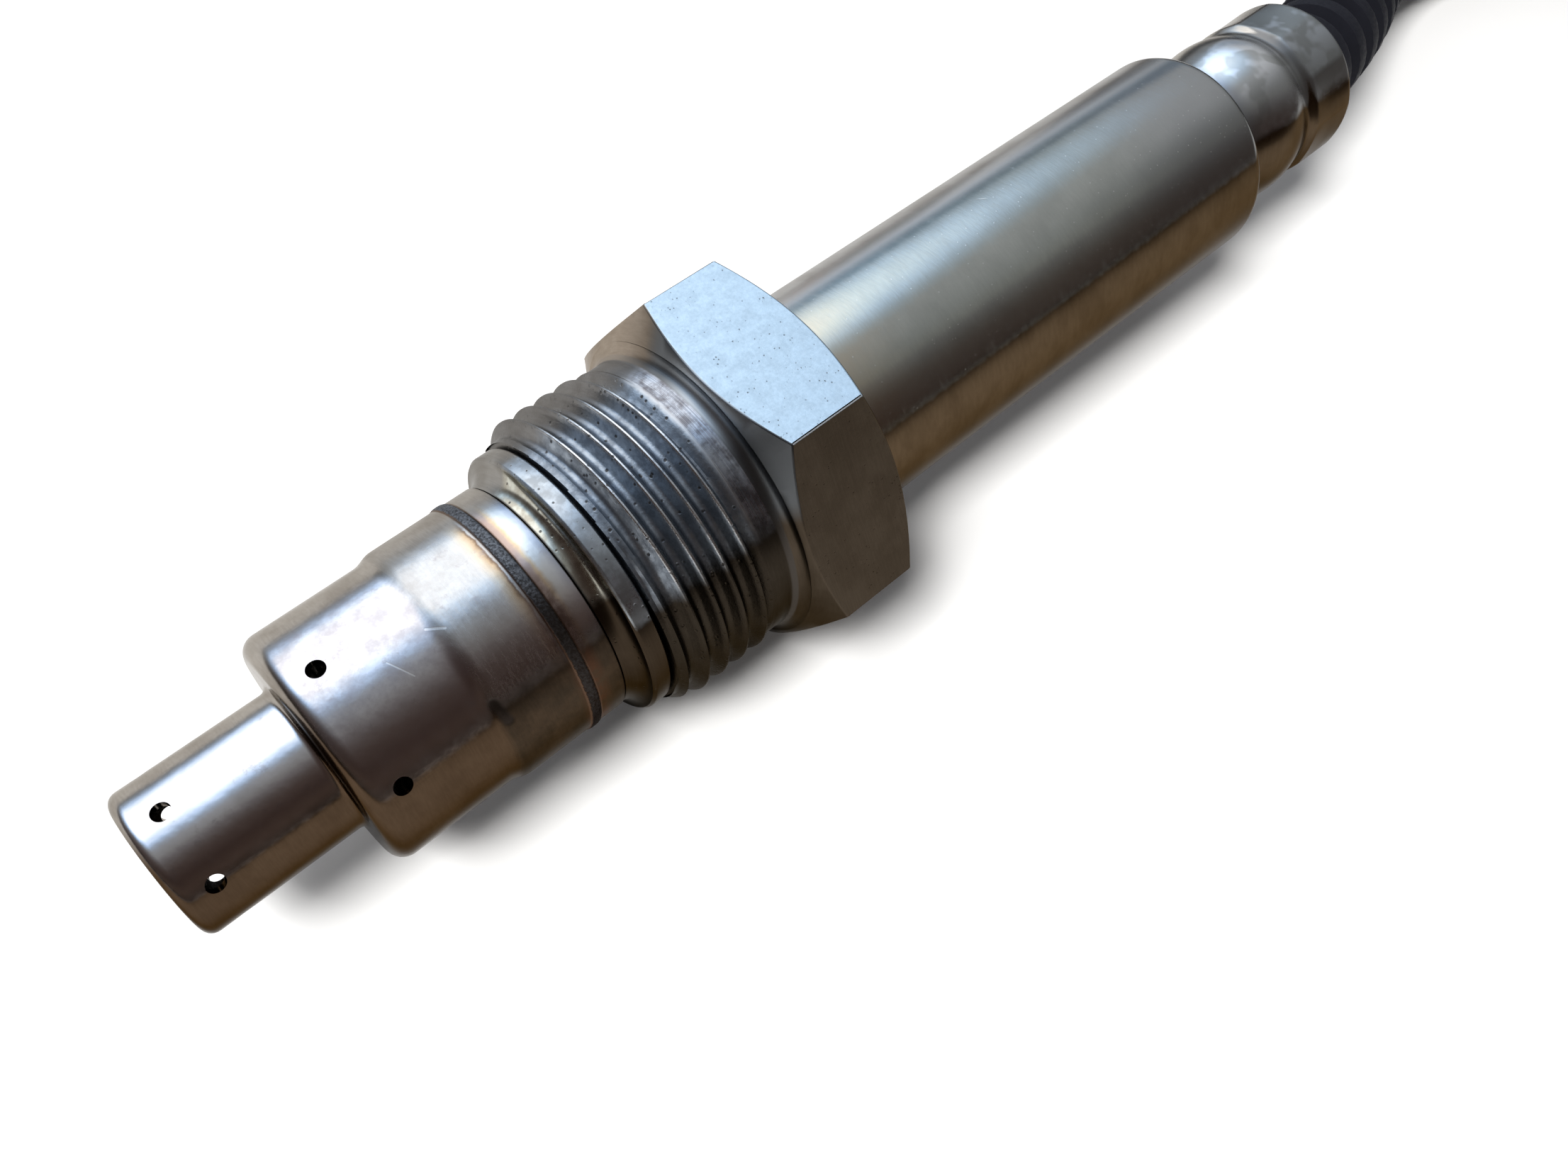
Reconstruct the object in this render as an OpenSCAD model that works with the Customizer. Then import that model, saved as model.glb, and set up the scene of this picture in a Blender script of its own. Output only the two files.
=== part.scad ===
/* [Outer protection tube] */
// Diameter of the slim tube at the tip
tip_d = 9.1; // [8.8:0.05:9.4]
// Diameter of the wide middle of the tube
mid_d = 14.96; // [14.6:0.02:15.2]
// Diameter of the tube's root, where it is welded on
root_d = 15.56; // [15.4:0.02:15.8]
// Wall of the drawn tube
tube_wall = 0.5; // [0.4:0.02:0.55]
// Length of the slim tip, up to the shoulder
tip_len = 9.7; // [9:0.1:10.4]
// Length of the wide middle, from the shoulder to the step
mid_len = 7.5; // [7:0.1:8]
// Length of the step from the middle to the root
step_len = 1.3; // [1:0.1:1.6]
// Length of the root, from the step to the open end
root_len = 6.7; // [6.4:0.1:7]
// Rounding of the tip's end
tip_round = 0.7; // [0.5:0.05:0.9]
// Rounding of the shoulder's outer edge
shoulder_round = 1.1; // [0.9:0.05:1.3]
// Fillet between the tip and the shoulder
shoulder_fillet = 0.45; // [0.3:0.05:0.6]
// Diameter of each gas hole
gas_hole_d = 1.1; // [0.9:0.05:1.3]
// Number of gas holes in a row
gas_holes = 6; // [4:1:8]
// Turn of the gas holes about the probe's axis, in degrees
gas_hole_turn = 86; // [60:1:119]
// Distance of the front row of holes from the tip's end
tip_row_back = 2.05; // [1.7:0.05:2.4]
// Distance of the middle row of holes behind the shoulder
mid_row_back = 2.2; // [2:0.05:2.6]
// Diameter of the outlet in the tip's end
outlet_d = 2.2; // [1.8:0.1:2.6]
// Height of the weld bead over the tube
weld_rise = 0.1; // [0.06:0.02:0.14]
// Width of the weld bead
weld_w = 0.8; // [0.6:0.05:1]
// Distance of the weld bead from the tube's open end
weld_back = 2.15; // [1.9:0.05:2.4]

/* [Inner protection tube] */
// Diameter of the inner tube round the element
inner_d = 10.6; // [10.2:0.1:10.9]
// Diameter of the inner tube's nose
inner_nose_d = 6.6; // [6.2:0.1:7]
// Wall of the inner tube
inner_wall = 0.35; // [0.3:0.05:0.45]
// Length of the inner tube's wide part
inner_len = 8.9; // [8.4:0.1:9.2]
// Length of the inner tube's nose
inner_nose_len = 5.6; // [5:0.1:6]
// Thickness of the inner tube's flange
inner_flange_t = 0.4; // [0.3:0.05:0.5]
// Diameter of each hole in the inner tube
inner_hole_d = 1.2; // [1:0.05:1.4]

/* [Housing] */
// Diameter of the sealing collar
collar_d = 18; // [17.8:0.05:18.2]
// Width of the collar's plain band
collar_w = 1.2; // [1:0.05:1.4]
// Length of the hollow flare that seats in the boss
flare_w = 1.2; // [1:0.05:1.4]
// Gap between the collar and the nut's front
collar_gap = 0.2; // [0.15:0.05:0.3]
// Diameter of the shank that the nut turns on
shank_d = 15.4; // [15.2:0.02:15.5]
// Length of the shank in front of the sleeve
shank_len = 5; // [4.5:0.1:5.5]
// Length of the seat that the sleeve is pushed over
sleeve_seat_len = 9; // [8.5:0.1:9.5]
// Length of the spigot inside the protection tube
spigot_len = 4.4; // [4.2:0.1:4.6]
// Diameter of the housing's front bore
front_bore_d = 9; // [8.6:0.1:9.4]
// Diameter of the cavity that holds the seal stack
cavity_d = 11.4; // [11:0.1:11.8]
// Length of the housing's front bore
front_bore_len = 6; // [5.6:0.1:6.4]
// Thickness of the lip that is rolled over the seal stack
lip_t = 0.7; // [0.5:0.05:0.9]
// Reach of the rolled lip over the seal stack
lip_reach = 0.9; // [0.7:0.05:1.1]

/* [Gland nut] */
// Outer diameter of the nut's thread
thread_d = 20; // [19.9:0.02:20.1]
// Length of the nut's thread
thread_len = 7.3; // [7:0.1:7.6]
// Length of the thread's lead-in
lead_len = 0.95; // [0.8:0.05:1.1]
// Depth of the thread's lead-in
lead_depth = 1.05; // [0.9:0.05:1.2]
// Length of the plain neck behind the thread
neck_len = 1; // [0.8:0.05:1.2]
// Depth of the neck under the thread's crest
neck_depth = 0.25; // [0.15:0.05:0.35]
// Length of the fillet from the neck to the hexagon
neck_fillet = 1; // [0.8:0.05:1.2]
// Width of the hexagon across its flats
hex_af = 22; // [21.6:0.05:22.4]
// Thickness of the hexagon
hex_t = 7.8; // [7.4:0.1:8.2]
// Diameter of the flat ring on each face of the hexagon
hex_face_d = 21.2; // [20.8:0.05:21.4]
// Slope of the hexagon's corner chamfers, in degrees
chamfer_angle = 30; // [25:1:35]
// Running clearance between the nut and what it turns on
nut_play = 0.08; // [0.04:0.01:0.1]
// Chamfer at each end of the nut's bore
bore_chamfer = 0.4; // [0.3:0.05:0.5]

/* [Sensing element and seal] */
// Width of the ceramic sensing strip
element_w = 4; // [3.8:0.05:4.2]
// Thickness of the ceramic sensing strip
element_t = 1.3; // [1.2:0.05:1.4]
// Reach of the strip in front of the housing
element_reach = 13.2; // [12.6:0.1:13.6]
// Length of the whole strip
element_len = 66.6; // [66.2:0.1:67]
// Clearance of the strip in its bushes
element_gap = 0.05; // [0.03:0.01:0.08]
// Length of the front ceramic bush
front_bush_len = 4; // [3.6:0.1:4.4]
// Length of the pressed powder ring
powder_len = 5; // [4.6:0.1:5.4]
// Thickness of the ring under the rolled lip
seal_ring_t = 0.7; // [0.5:0.05:0.9]

/* [Sleeve] */
// Wall of the long sleeve
sleeve_wall = 0.55; // [0.45:0.05:0.6]
// Length of the long sleeve
sleeve_len = 52.95; // [52.4:0.05:53.4]
// Rounding of the sleeve's rolled rear end
sleeve_round = 1.2; // [1:0.05:1.3]
// Diameter of the opening in the rolled end
sleeve_mouth_d = 12.6; // [12.55:0.01:12.8]

/* [Contacts] */
// Room between the block's clip and the sleeve
block_room = 0.92; // [0.7:0.02:1.1]
// Length of the ceramic contact block
block_len = 12; // [11.5:0.1:12.5]
// Overlap of the block with the strip's rear end
block_grip = 8.4; // [8:0.1:8.6]
// Gap between the two halves of the block
block_split = 0.3; // [0.2:0.05:0.4]
// Width of one contact spring
contact_w = 1.1; // [1:0.05:1.2]
// Thickness of one contact spring
contact_t = 0.25; // [0.2:0.02:0.3]
// Distance between the two springs on one side
contact_pitch = 2; // [1.8:0.05:2.2]
// Height of the spring's bow over its strip
contact_bow = 0.6; // [0.5:0.05:0.7]
// Thickness of the clip round the block
clip_t = 0.6; // [0.5:0.05:0.7]
// Width of the clip round the block
clip_w = 6; // [5.5:0.1:6.5]
// Opening of the clip, in degrees
clip_open = 50; // [40:1:60]
// Diameter of one wire
wire_d = 1.7; // [1.5:0.05:1.8]
// Distance of each wire from the probe's axis
wire_offset = 2.1; // [2:0.05:2.3]
// Length of the crimp barrel on a contact
barrel_len = 3.2; // [3:0.1:3.4]
// Wall of the crimp barrel
barrel_wall = 0.25; // [0.2:0.05:0.3]

/* [Rear cap] */
// Diameter of the crimped cap
cap_d = 12.3; // [12.2:0.02:12.45]
// Diameter of the cap where it leaves the sleeve
cap_neck_d = 11.8; // [11.6:0.05:12]
// Wall of the cap
cap_wall = 0.5; // [0.45:0.01:0.55]
// Diameter of the cap's flange inside the sleeve
cap_flange_d = 14.2; // [14.1:0.02:14.3]
// Length of the cap's flange, up to its shoulder
cap_flange_len = 2.6; // [2.3:0.1:2.9]
// Length of the first crimped hump, behind the sleeve
hump_len = 8; // [7.6:0.1:8.4]
// Depth of the groove between the two crimps
groove_depth = 0.3; // [0.2:0.05:0.4]
// Width of the groove between the two crimps
groove_w = 1; // [0.8:0.05:1.2]
// Length of the second crimp
crimp_len = 4.9; // [4.6:0.1:5.2]
// Number of flats that the crimping tool leaves
crimp_flats = 10; // [8:1:12]
// Rounding of the cap's rear rim
rim_round = 0.6; // [0.45:0.05:0.7]
// Thickness of the wire guide
guide_t = 1.6; // [1.4:0.1:1.8]
// Length of the rubber grommet
grommet_len = 6.5; // [6.2:0.1:6.6]

/* [Conduit] */
// Diameter of the corrugated conduit
conduit_d = 8.8; // [8.6:0.05:9]
// Radius of the coil that the conduit lies in
coil_r = 45; // [44:0.5:46]
// Width of the tie round the coil
tie_w = 4.6; // [4:0.1:5]
// Thickness of the tie round the coil
tie_t = 1.2; // [1:0.05:1.4]

/* [Plug] */
// Length of the plug's housing
plug_len = 26; // [25:0.5:27]
// Width of the plug's housing
plug_w = 19; // [18.4:0.1:19.6]
// Height of the plug's housing
plug_h = 13; // [12.4:0.1:13.6]
// Rounding of the plug's long edges
plug_round = 2.4; // [2:0.1:2.8]
// Length of the plug's nose
plug_nose_len = 9; // [8.5:0.1:9.5]
// Wall that the nose steps in by
plug_step = 1.6; // [1.4:0.05:1.8]
// Size of each square contact opening
socket_w = 2; // [1.8:0.05:2.2]
// Depth of each contact opening
socket_depth = 6; // [5.5:0.1:6.5]
// Distance between contact openings
socket_pitch = 3.4; // [3.2:0.05:3.6]
// Thickness of the seal round the nose
seal_t = 0.8; // [0.7:0.05:0.9]
// Width of the seal round the nose
seal_w = 3; // [2.7:0.1:3.3]
// Length of the latch lever
latch_len = 17; // [16:0.5:18]
// Width of the latch lever
latch_w = 7; // [6.5:0.1:7.5]
// Thickness of the latch lever
latch_t = 1.3; // [1.2:0.05:1.5]
// Height of the gap under the latch lever
latch_gap = 1.2; // [1:0.05:1.4]
// Length of the clamp behind the plug
clamp_len = 12; // [11.5:0.1:12.5]
// Diameter of the clamp behind the plug
clamp_d = 12.4; // [12.2:0.1:12.6]

/* [Hidden] */

// How finely round bodies and small holes are drawn
round_fn = 96;
small_fn = 32;
// Steps along a rounded edge of a profile
arc_steps = 5;
// How far a cutting tool runs past what it cuts
overrun = 1;
// Clearance between pieces that are pushed together
fit_gap = 0.03;
// Clearance between pieces that only lie side by side
loose_gap = 0.15;
// Small chamfer on turned edges
edge_break = 0.12;

// Stations along the probe's axis, from the collar's front edge at zero
collar_front = 0;
collar_back = collar_front + collar_w;
nut_front = collar_back + collar_gap;
flare_front = collar_front - flare_w;
tube_end = flare_front - fit_gap;
step_back = tube_end - root_len;
step_front = step_back - step_len;
shoulder = step_front - mid_len;
tip_end = shoulder - tip_len;
spigot_front = flare_front - spigot_len;
cavity_front = spigot_front + front_bore_len;
sleeve_front = nut_front + shank_len;
housing_back = sleeve_front + sleeve_seat_len;
sleeve_back = sleeve_front + fit_gap + sleeve_len;
neck_front = nut_front + thread_len;
hex_front = neck_front + neck_len + neck_fillet;
nut_back = hex_front + hex_t;
powder_front = cavity_front + front_bush_len;
rear_bush_front = powder_front + powder_len;
lip_front = housing_back - lip_t;
seal_ring_front = lip_front - seal_ring_t;
element_front = spigot_front - element_reach;
element_back = element_front + element_len;
block_front = element_back - block_grip;
block_back = block_front + block_len;
barrel_front = block_back + loose_gap;
wire_front = barrel_front + loose_gap;
cap_front = sleeve_back - sleeve_round - cap_flange_len;
cap_shoulder = sleeve_back - sleeve_round;
groove_at = sleeve_back + hump_len;
cap_back = groove_at + groove_w / 2 + crimp_len;
guide_back = cap_front + guide_t;
grommet_back = groove_at + groove_w / 2;
grommet_front = grommet_back - grommet_len;
conduit_front = grommet_back + fit_gap;

// Radii of the turned pieces
root_r = root_d / 2;
spigot_r = root_r - tube_wall - fit_gap;
sleeve_bore_r = shank_d / 2 - sleeve_wall;
sleeve_seat_r = sleeve_bore_r - fit_gap;
nut_bore_r = shank_d / 2 + nut_play;
corner_r = hex_af / 2 / cos(30);
cap_bore_r = cap_neck_d / 2 - cap_wall;
lip_d = cavity_d - 2 * lip_reach;
block_d = 2 * (sleeve_bore_r - block_room - clip_t - fit_gap);
collar_bore_r = conduit_d / 2 + fit_gap;

// Surface that the nut's lower flat and the conduit lie on
floor_z = -hex_af / 2;
rest_z = floor_z + conduit_d / 2;
upper_z = rest_z + conduit_d;

// Centre of the coil, and the conduit's way to it and from it to the plug
coil_x = 148;
coil_y = 43;
lead_route = [
  [68, 0, 0], [73, 0, 0], [77.5, 0.6, -0.2], [83.5, 2.1, -0.9], [90, 4.4, -2.1],
  [97, 6.3, -3.7], [104.5, 7, -5.2], [112, 5.9, -6.3], [120, 3.7, -6.6],
  [128, 1.4, -6.6], [137, -1, -6.6], [146, -2, -6.6]];
tail_route = [
  [148, 88, 2.2], [139, 88, 2.2], [131, 87.4, 1.9], [124, 86, 0.9], [117, 84, -1.2],
  [110.5, 82.2, -3.3], [104, 81.2, -4.4], [98, 81, -4.5], [92.2, 81, -4.5]];
plug_x = 101;
plug_y = 81;
// Place of the strap on the coil, in degrees round its centre
tie_turn = -60;
plug_z = floor_z + plug_h / 2;

// Points of an arc of an ellipse in a profile, from angle a0 to a1
function bend(c, rr, rx, a0, a1, n = arc_steps) =
  [for (i = [0:n]) let (a = a0 + (a1 - a0) * i / n) [c[0] + rr * cos(a), c[1] + rx * sin(a)]];

// Smooth rise of a radius from r0 at x0 to r1 at x1
function rise(r0, x0, r1, x1, n = arc_steps) =
  [for (i = [0:n]) let (t = i / n) [r0 + (r1 - r0) * (1 - cos(180 * t)) / 2, x0 + (x1 - x0) * t]];

// Solid turned about the probe's axis from a profile of [radius, station]
module turned(profile) {
  rotate([0, 90, 0]) rotate_extrude($fn = round_fn) polygon(profile);
}

// Round bar along the probe's axis
module bar(r, x0, x1, fn = small_fn) {
  translate([x0, 0, 0]) rotate([0, 90, 0]) cylinder(r = r, h = x1 - x0, $fn = fn);
}

// One ring of radial drills at a station
module hole_row(x, d, reach, turn) {
  for (i = [0:gas_holes - 1])
    rotate([turn - 90 + i * 360 / gas_holes, 0, 0])
      translate([x, 0, 0]) cylinder(d = d, h = reach, $fn = small_fn);
}

// Four bars at the wires' places
module wire_bars(r, x0, x1) {
  for (i = [0:3]) at_wire(i) bar(r, x0, x1);
}

module at_wire(i) {
  rotate([45 + i * 90, 0, 0]) translate([0, wire_offset, 0]) children();
}

// Flat slot for the sensing strip
module strip_slot(x0, x1) {
  translate([x0, -element_w / 2 - element_gap, -element_t / 2 - element_gap])
    cube([x1 - x0, element_w + 2 * element_gap, element_t + 2 * element_gap]);
}

// Sweep of a round section along a route, as one closed skin
function unit(v) = v / norm(v);
function side(t) = unit(cross([0, 0, 1], t));
function heading(route, i) =
  unit(route[min(i + 1, len(route) - 1)] - route[max(i - 1, 0)]);

module swept(route, r, sides = 12) {
  n = len(route);
  points = [for (i = [0:n - 1]) let (t = heading(route, i), s = side(t), u = cross(t, s))
    for (k = [0:sides - 1]) let (a = 360 * k / sides) route[i] + r * (cos(a) * s + sin(a) * u)];
  skin = [for (i = [0:n - 2]) for (k = [0:sides - 1]) let (m = (k + 1) % sides)
    [i * sides + m, i * sides + k, (i + 1) * sides + k, (i + 1) * sides + m]];
  ends = [[for (k = [0:sides - 1]) k], [for (k = [sides - 1:-1:0]) (n - 1) * sides + k]];
  polyhedron(points = points, faces = concat(skin, ends), convexity = 4);
}

// Stepped, perforated tube with its weld bead near the open end
module outer_tube() {
  tip_r = tip_d / 2;
  mid_r = mid_d / 2;
  inner_round = max(shoulder_round - tube_wall, edge_break);
  weld_at = tube_end - weld_back;
  color("silver") difference() {
    turned(concat(
      [[outlet_d / 2, tip_end]],
      bend([tip_r - tip_round, tip_end + tip_round], tip_round, tip_round, -90, 0),
      bend([tip_r + shoulder_fillet, shoulder - shoulder_fillet], shoulder_fillet, shoulder_fillet, 180, 90),
      bend([mid_r - shoulder_round, shoulder + shoulder_round], shoulder_round, shoulder_round, -90, 0),
      rise(mid_r, step_front, root_r, step_back),
      bend([root_r, weld_at], weld_rise, weld_w / 2, -90, 90),
      [[root_r, tube_end - edge_break], [root_r - edge_break, tube_end],
       [root_r - tube_wall, tube_end]],
      rise(root_r - tube_wall, step_back, mid_r - tube_wall, step_front),
      bend([mid_r - shoulder_round, shoulder + shoulder_round], inner_round, inner_round, 0, -90),
      bend([tip_r + shoulder_fillet, shoulder - shoulder_fillet],
        shoulder_fillet + tube_wall, shoulder_fillet + tube_wall, 90, 180),
      [[tip_r - tube_wall, tip_end + tube_wall], [outlet_d / 2, tip_end + tube_wall]]));
    hole_row(tip_end + tip_row_back, gas_hole_d, tip_d, gas_hole_turn);
    hole_row(shoulder + mid_row_back, gas_hole_d, mid_d, gas_hole_turn);
  }
}

// Inner tube with its flange on the housing's front face
module inner_tube() {
  r = inner_d / 2;
  nose_r = inner_nose_d / 2;
  flange_back = spigot_front - fit_gap;
  wide_front = flange_back - inner_len;
  nose_front = wide_front - inner_nose_len;
  color("gainsboro") difference() {
    turned(concat(
      [[outlet_d / 2, nose_front]],
      bend([nose_r - tip_round, nose_front + tip_round], tip_round, tip_round, -90, 0),
      [[nose_r, wide_front]],
      bend([r - tip_round, wide_front + tip_round], tip_round, tip_round, -90, 0),
      [[r, flange_back - inner_flange_t], [spigot_r - fit_gap, flange_back - inner_flange_t],
       [spigot_r - fit_gap, flange_back], [r - inner_wall, flange_back],
       [r - inner_wall, wide_front + inner_wall], [nose_r - inner_wall, wide_front + inner_wall],
       [nose_r - inner_wall, nose_front + inner_wall], [outlet_d / 2, nose_front + inner_wall]]));
    hole_row(wide_front + inner_len / 2, inner_hole_d, inner_d, gas_hole_turn + 180 / gas_holes);
  }
}

// Turned body with the sealing collar, the nut's shank and the seal cavity
module housing() {
  color("darkgray") turned(concat(
    [[front_bore_d / 2, spigot_front], [spigot_r - edge_break, spigot_front],
     [spigot_r, spigot_front + edge_break], [spigot_r, flare_front],
     [root_r - edge_break, flare_front]],
    [for (i = [0:arc_steps]) let (a = 90 * i / arc_steps)
      [collar_d / 2 - edge_break - (collar_d / 2 - edge_break - root_r) * cos(a),
       flare_front + edge_break + (flare_w - edge_break) * sin(a)]],
    [[collar_d / 2, collar_front + edge_break], [collar_d / 2, collar_back - edge_break],
     [collar_d / 2 - edge_break, collar_back], [shank_d / 2, collar_back],
     [shank_d / 2, sleeve_front], [sleeve_seat_r, sleeve_front],
     [sleeve_seat_r, housing_back - lip_t], [lip_d / 2 + lip_t, housing_back],
     [lip_d / 2, housing_back], [lip_d / 2, lip_front], [cavity_d / 2, lip_front],
     [cavity_d / 2, cavity_front], [front_bore_d / 2, cavity_front]]));
}

// Captive nut: threaded front, plain neck and chamfered hexagon
module gland_nut() {
  neck_r = thread_d / 2 - neck_depth;
  face_r = hex_face_d / 2;
  over_r = corner_r + overrun;
  slope = (over_r - face_r) * tan(chamfer_angle);
  color("slategray") difference() {
    union() {
      turned(concat(
        [[0, nut_front], [thread_d / 2 - lead_depth, nut_front], [thread_d / 2, nut_front + lead_len],
         [thread_d / 2, neck_front], [neck_r, neck_front + neck_depth], [neck_r, neck_front + neck_len]],
        [for (i = [1:arc_steps]) let (a = 90 * i / arc_steps)
          [face_r - (face_r - neck_r) * cos(a), hex_front - neck_fillet * (1 - sin(a))]],
        [[face_r, nut_back], [0, nut_back]]));
      intersection() {
        translate([hex_front, 0, 0]) rotate([0, 90, 0]) rotate([0, 0, 30])
          cylinder(r = corner_r, h = hex_t, $fn = 6);
        turned([[0, hex_front], [face_r, hex_front], [over_r, hex_front + slope],
          [over_r, nut_back - slope], [face_r, nut_back], [0, nut_back]]);
      }
    }
    bar(nut_bore_r, nut_front - overrun, nut_back + overrun, round_fn);
    turned([[0, nut_front], [nut_bore_r + bore_chamfer, nut_front],
      [nut_bore_r, nut_front + bore_chamfer], [0, nut_front + bore_chamfer]]);
    turned([[0, nut_back], [nut_bore_r + bore_chamfer, nut_back],
      [nut_bore_r, nut_back - bore_chamfer], [0, nut_back - bore_chamfer]]);
  }
}

// Flat ceramic strip that senses the gas at its front end
module element() {
  color("white") translate([element_front, -element_w / 2, -element_t / 2])
    cube([element_len, element_w, element_t]);
}

// Ceramic or powder ring in the housing's cavity, with a slot for the strip
module stack_ring(x0, x1) {
  difference() {
    turned([[0, x0], [cavity_d / 2 - fit_gap - edge_break, x0], [cavity_d / 2 - fit_gap, x0 + edge_break],
      [cavity_d / 2 - fit_gap, x1 - edge_break], [cavity_d / 2 - fit_gap - edge_break, x1], [0, x1]]);
    strip_slot(x0 - overrun, x1 + overrun);
  }
}

module front_bush() {
  color("ivory") stack_ring(cavity_front, powder_front);
}

module powder_ring() {
  color("lightgray") stack_ring(powder_front, rear_bush_front);
}

module rear_bush() {
  color("ivory") stack_ring(rear_bush_front, seal_ring_front);
}

// Steel ring that the rolled lip presses on
module seal_ring() {
  color("dimgray") turned([[lip_d / 2 - lip_t, seal_ring_front], [cavity_d / 2 - fit_gap, seal_ring_front],
    [cavity_d / 2 - fit_gap, lip_front], [lip_d / 2 - lip_t, lip_front]]);
}

// Long thin sleeve, open in front and rolled in at the rear
module sleeve() {
  r = shank_d / 2;
  x0 = sleeve_front + fit_gap;
  mouth_r = sleeve_mouth_d / 2;
  inner_round = sleeve_round - sleeve_wall;
  color("lightsteelblue") turned(concat(
    [[sleeve_bore_r, x0], [r - edge_break, x0], [r, x0 + edge_break]],
    bend([r - sleeve_round, sleeve_back - sleeve_round], sleeve_round, sleeve_round, 0, 90),
    [[mouth_r, sleeve_back], [mouth_r, sleeve_back - sleeve_wall]],
    bend([r - sleeve_round, sleeve_back - sleeve_round], inner_round, inner_round, 90, 0)));
}

// Half of the ceramic block that presses the contacts on the strip
module block_half(up) {
  slot_h = element_t / 2 + contact_t + contact_bow;
  color("linen") rotate([up ? 0 : 180, 0, 0]) difference() {
    intersection() {
      bar(block_d / 2, block_front, block_back, round_fn);
      translate([block_front, -block_d / 2, block_split / 2])
        cube([block_len, block_d, block_d / 2]);
    }
    // Pocket for the strip
    translate([block_front - overrun, -element_w / 2 - element_gap, -overrun])
      cube([block_grip + overrun + loose_gap, element_w + 2 * element_gap,
        element_t / 2 + element_gap + overrun]);
    // Channels for the two contact springs
    for (s = [-1, 1])
      translate([block_front - overrun, s * contact_pitch / 2 - contact_w / 2 - element_gap, 0])
        cube([block_len + 2 * overrun, contact_w + 2 * element_gap, slot_h]);
  }
}

module block_top() {
  block_half(true);
}

module block_bottom() {
  block_half(false);
}

// Open spring clip that squeezes the two halves together
module block_clip() {
  x0 = block_front + (block_len - clip_w) / 2;
  color("darkgray") rotate([clip_open / 2, 0, 0]) rotate([0, 90, 0]) rotate([0, 0, 90])
    translate([0, 0, x0]) rotate_extrude(angle = 360 - clip_open, $fn = round_fn)
      translate([block_d / 2 + fit_gap, 0]) square([clip_t, clip_w]);
}

// Contact spring bowed onto the strip, with a crimp barrel for its wire
module contact(i) {
  a = 45 + i * 90;
  sy = cos(a) > 0 ? 1 : -1;
  up = sin(a) > 0;
  z0 = element_t / 2;
  x0 = block_front;
  top = z0 + contact_bow;
  y = sy * contact_pitch / 2;
  wire_y = sy * wire_offset * cos(45);
  wire_z = wire_offset * sin(45);
  reach = block_back - x0;
  color("goldenrod") rotate([up ? 0 : 180, 0, 0]) union() {
    // Bowed strip
    translate([0, (up ? y : -y) + contact_w / 2, 0]) rotate([90, 0, 0]) linear_extrude(contact_w)
      polygon([
        [x0, top], [x0 + reach / 4, z0 + fit_gap], [x0 + reach / 3, z0 + fit_gap],
        [x0 + reach / 2, top], [barrel_front + loose_gap / 2, top],
        [barrel_front + loose_gap / 2, top + contact_t], [x0 + reach / 2 - contact_t, top + contact_t],
        [x0 + reach / 3, z0 + fit_gap + contact_t], [x0 + reach / 4, z0 + fit_gap + contact_t],
        [x0, top + contact_t]]);
    // Crimp barrel round the wire's end
    translate([barrel_front, up ? wire_y : -wire_y, wire_z]) rotate([0, 90, 0]) difference() {
      cylinder(d = wire_d + 2 * barrel_wall, h = barrel_len, $fn = small_fn);
      translate([0, 0, loose_gap]) cylinder(d = wire_d, h = barrel_len + overrun, $fn = small_fn);
    }
  }
}

module contact_1() {
  contact(0);
}

module contact_2() {
  contact(1);
}

module contact_3() {
  contact(2);
}

module contact_4() {
  contact(3);
}

// Disc that keeps the wires apart in the cap's flange
module wire_guide() {
  r = cap_flange_d / 2 - cap_wall - fit_gap;
  color("white") difference() {
    bar(r, cap_front, guide_back, round_fn);
    wire_bars(wire_d / 2 + fit_gap + barrel_wall, cap_front - overrun, guide_back + overrun);
  }
}

// Rubber grommet that the first crimp squeezes onto the wires
module grommet() {
  r = cap_bore_r - fit_gap;
  color("saddlebrown") difference() {
    turned([[0, grommet_front], [r - edge_break, grommet_front], [r, grommet_front + edge_break],
      [r, groove_at - groove_w / 2 - groove_depth], [r - groove_depth, groove_at - groove_w / 2],
      [r - groove_depth, grommet_back], [0, grommet_back]]);
    wire_bars(wire_d / 2, grommet_front - overrun, grommet_back + overrun);
  }
}

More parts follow.
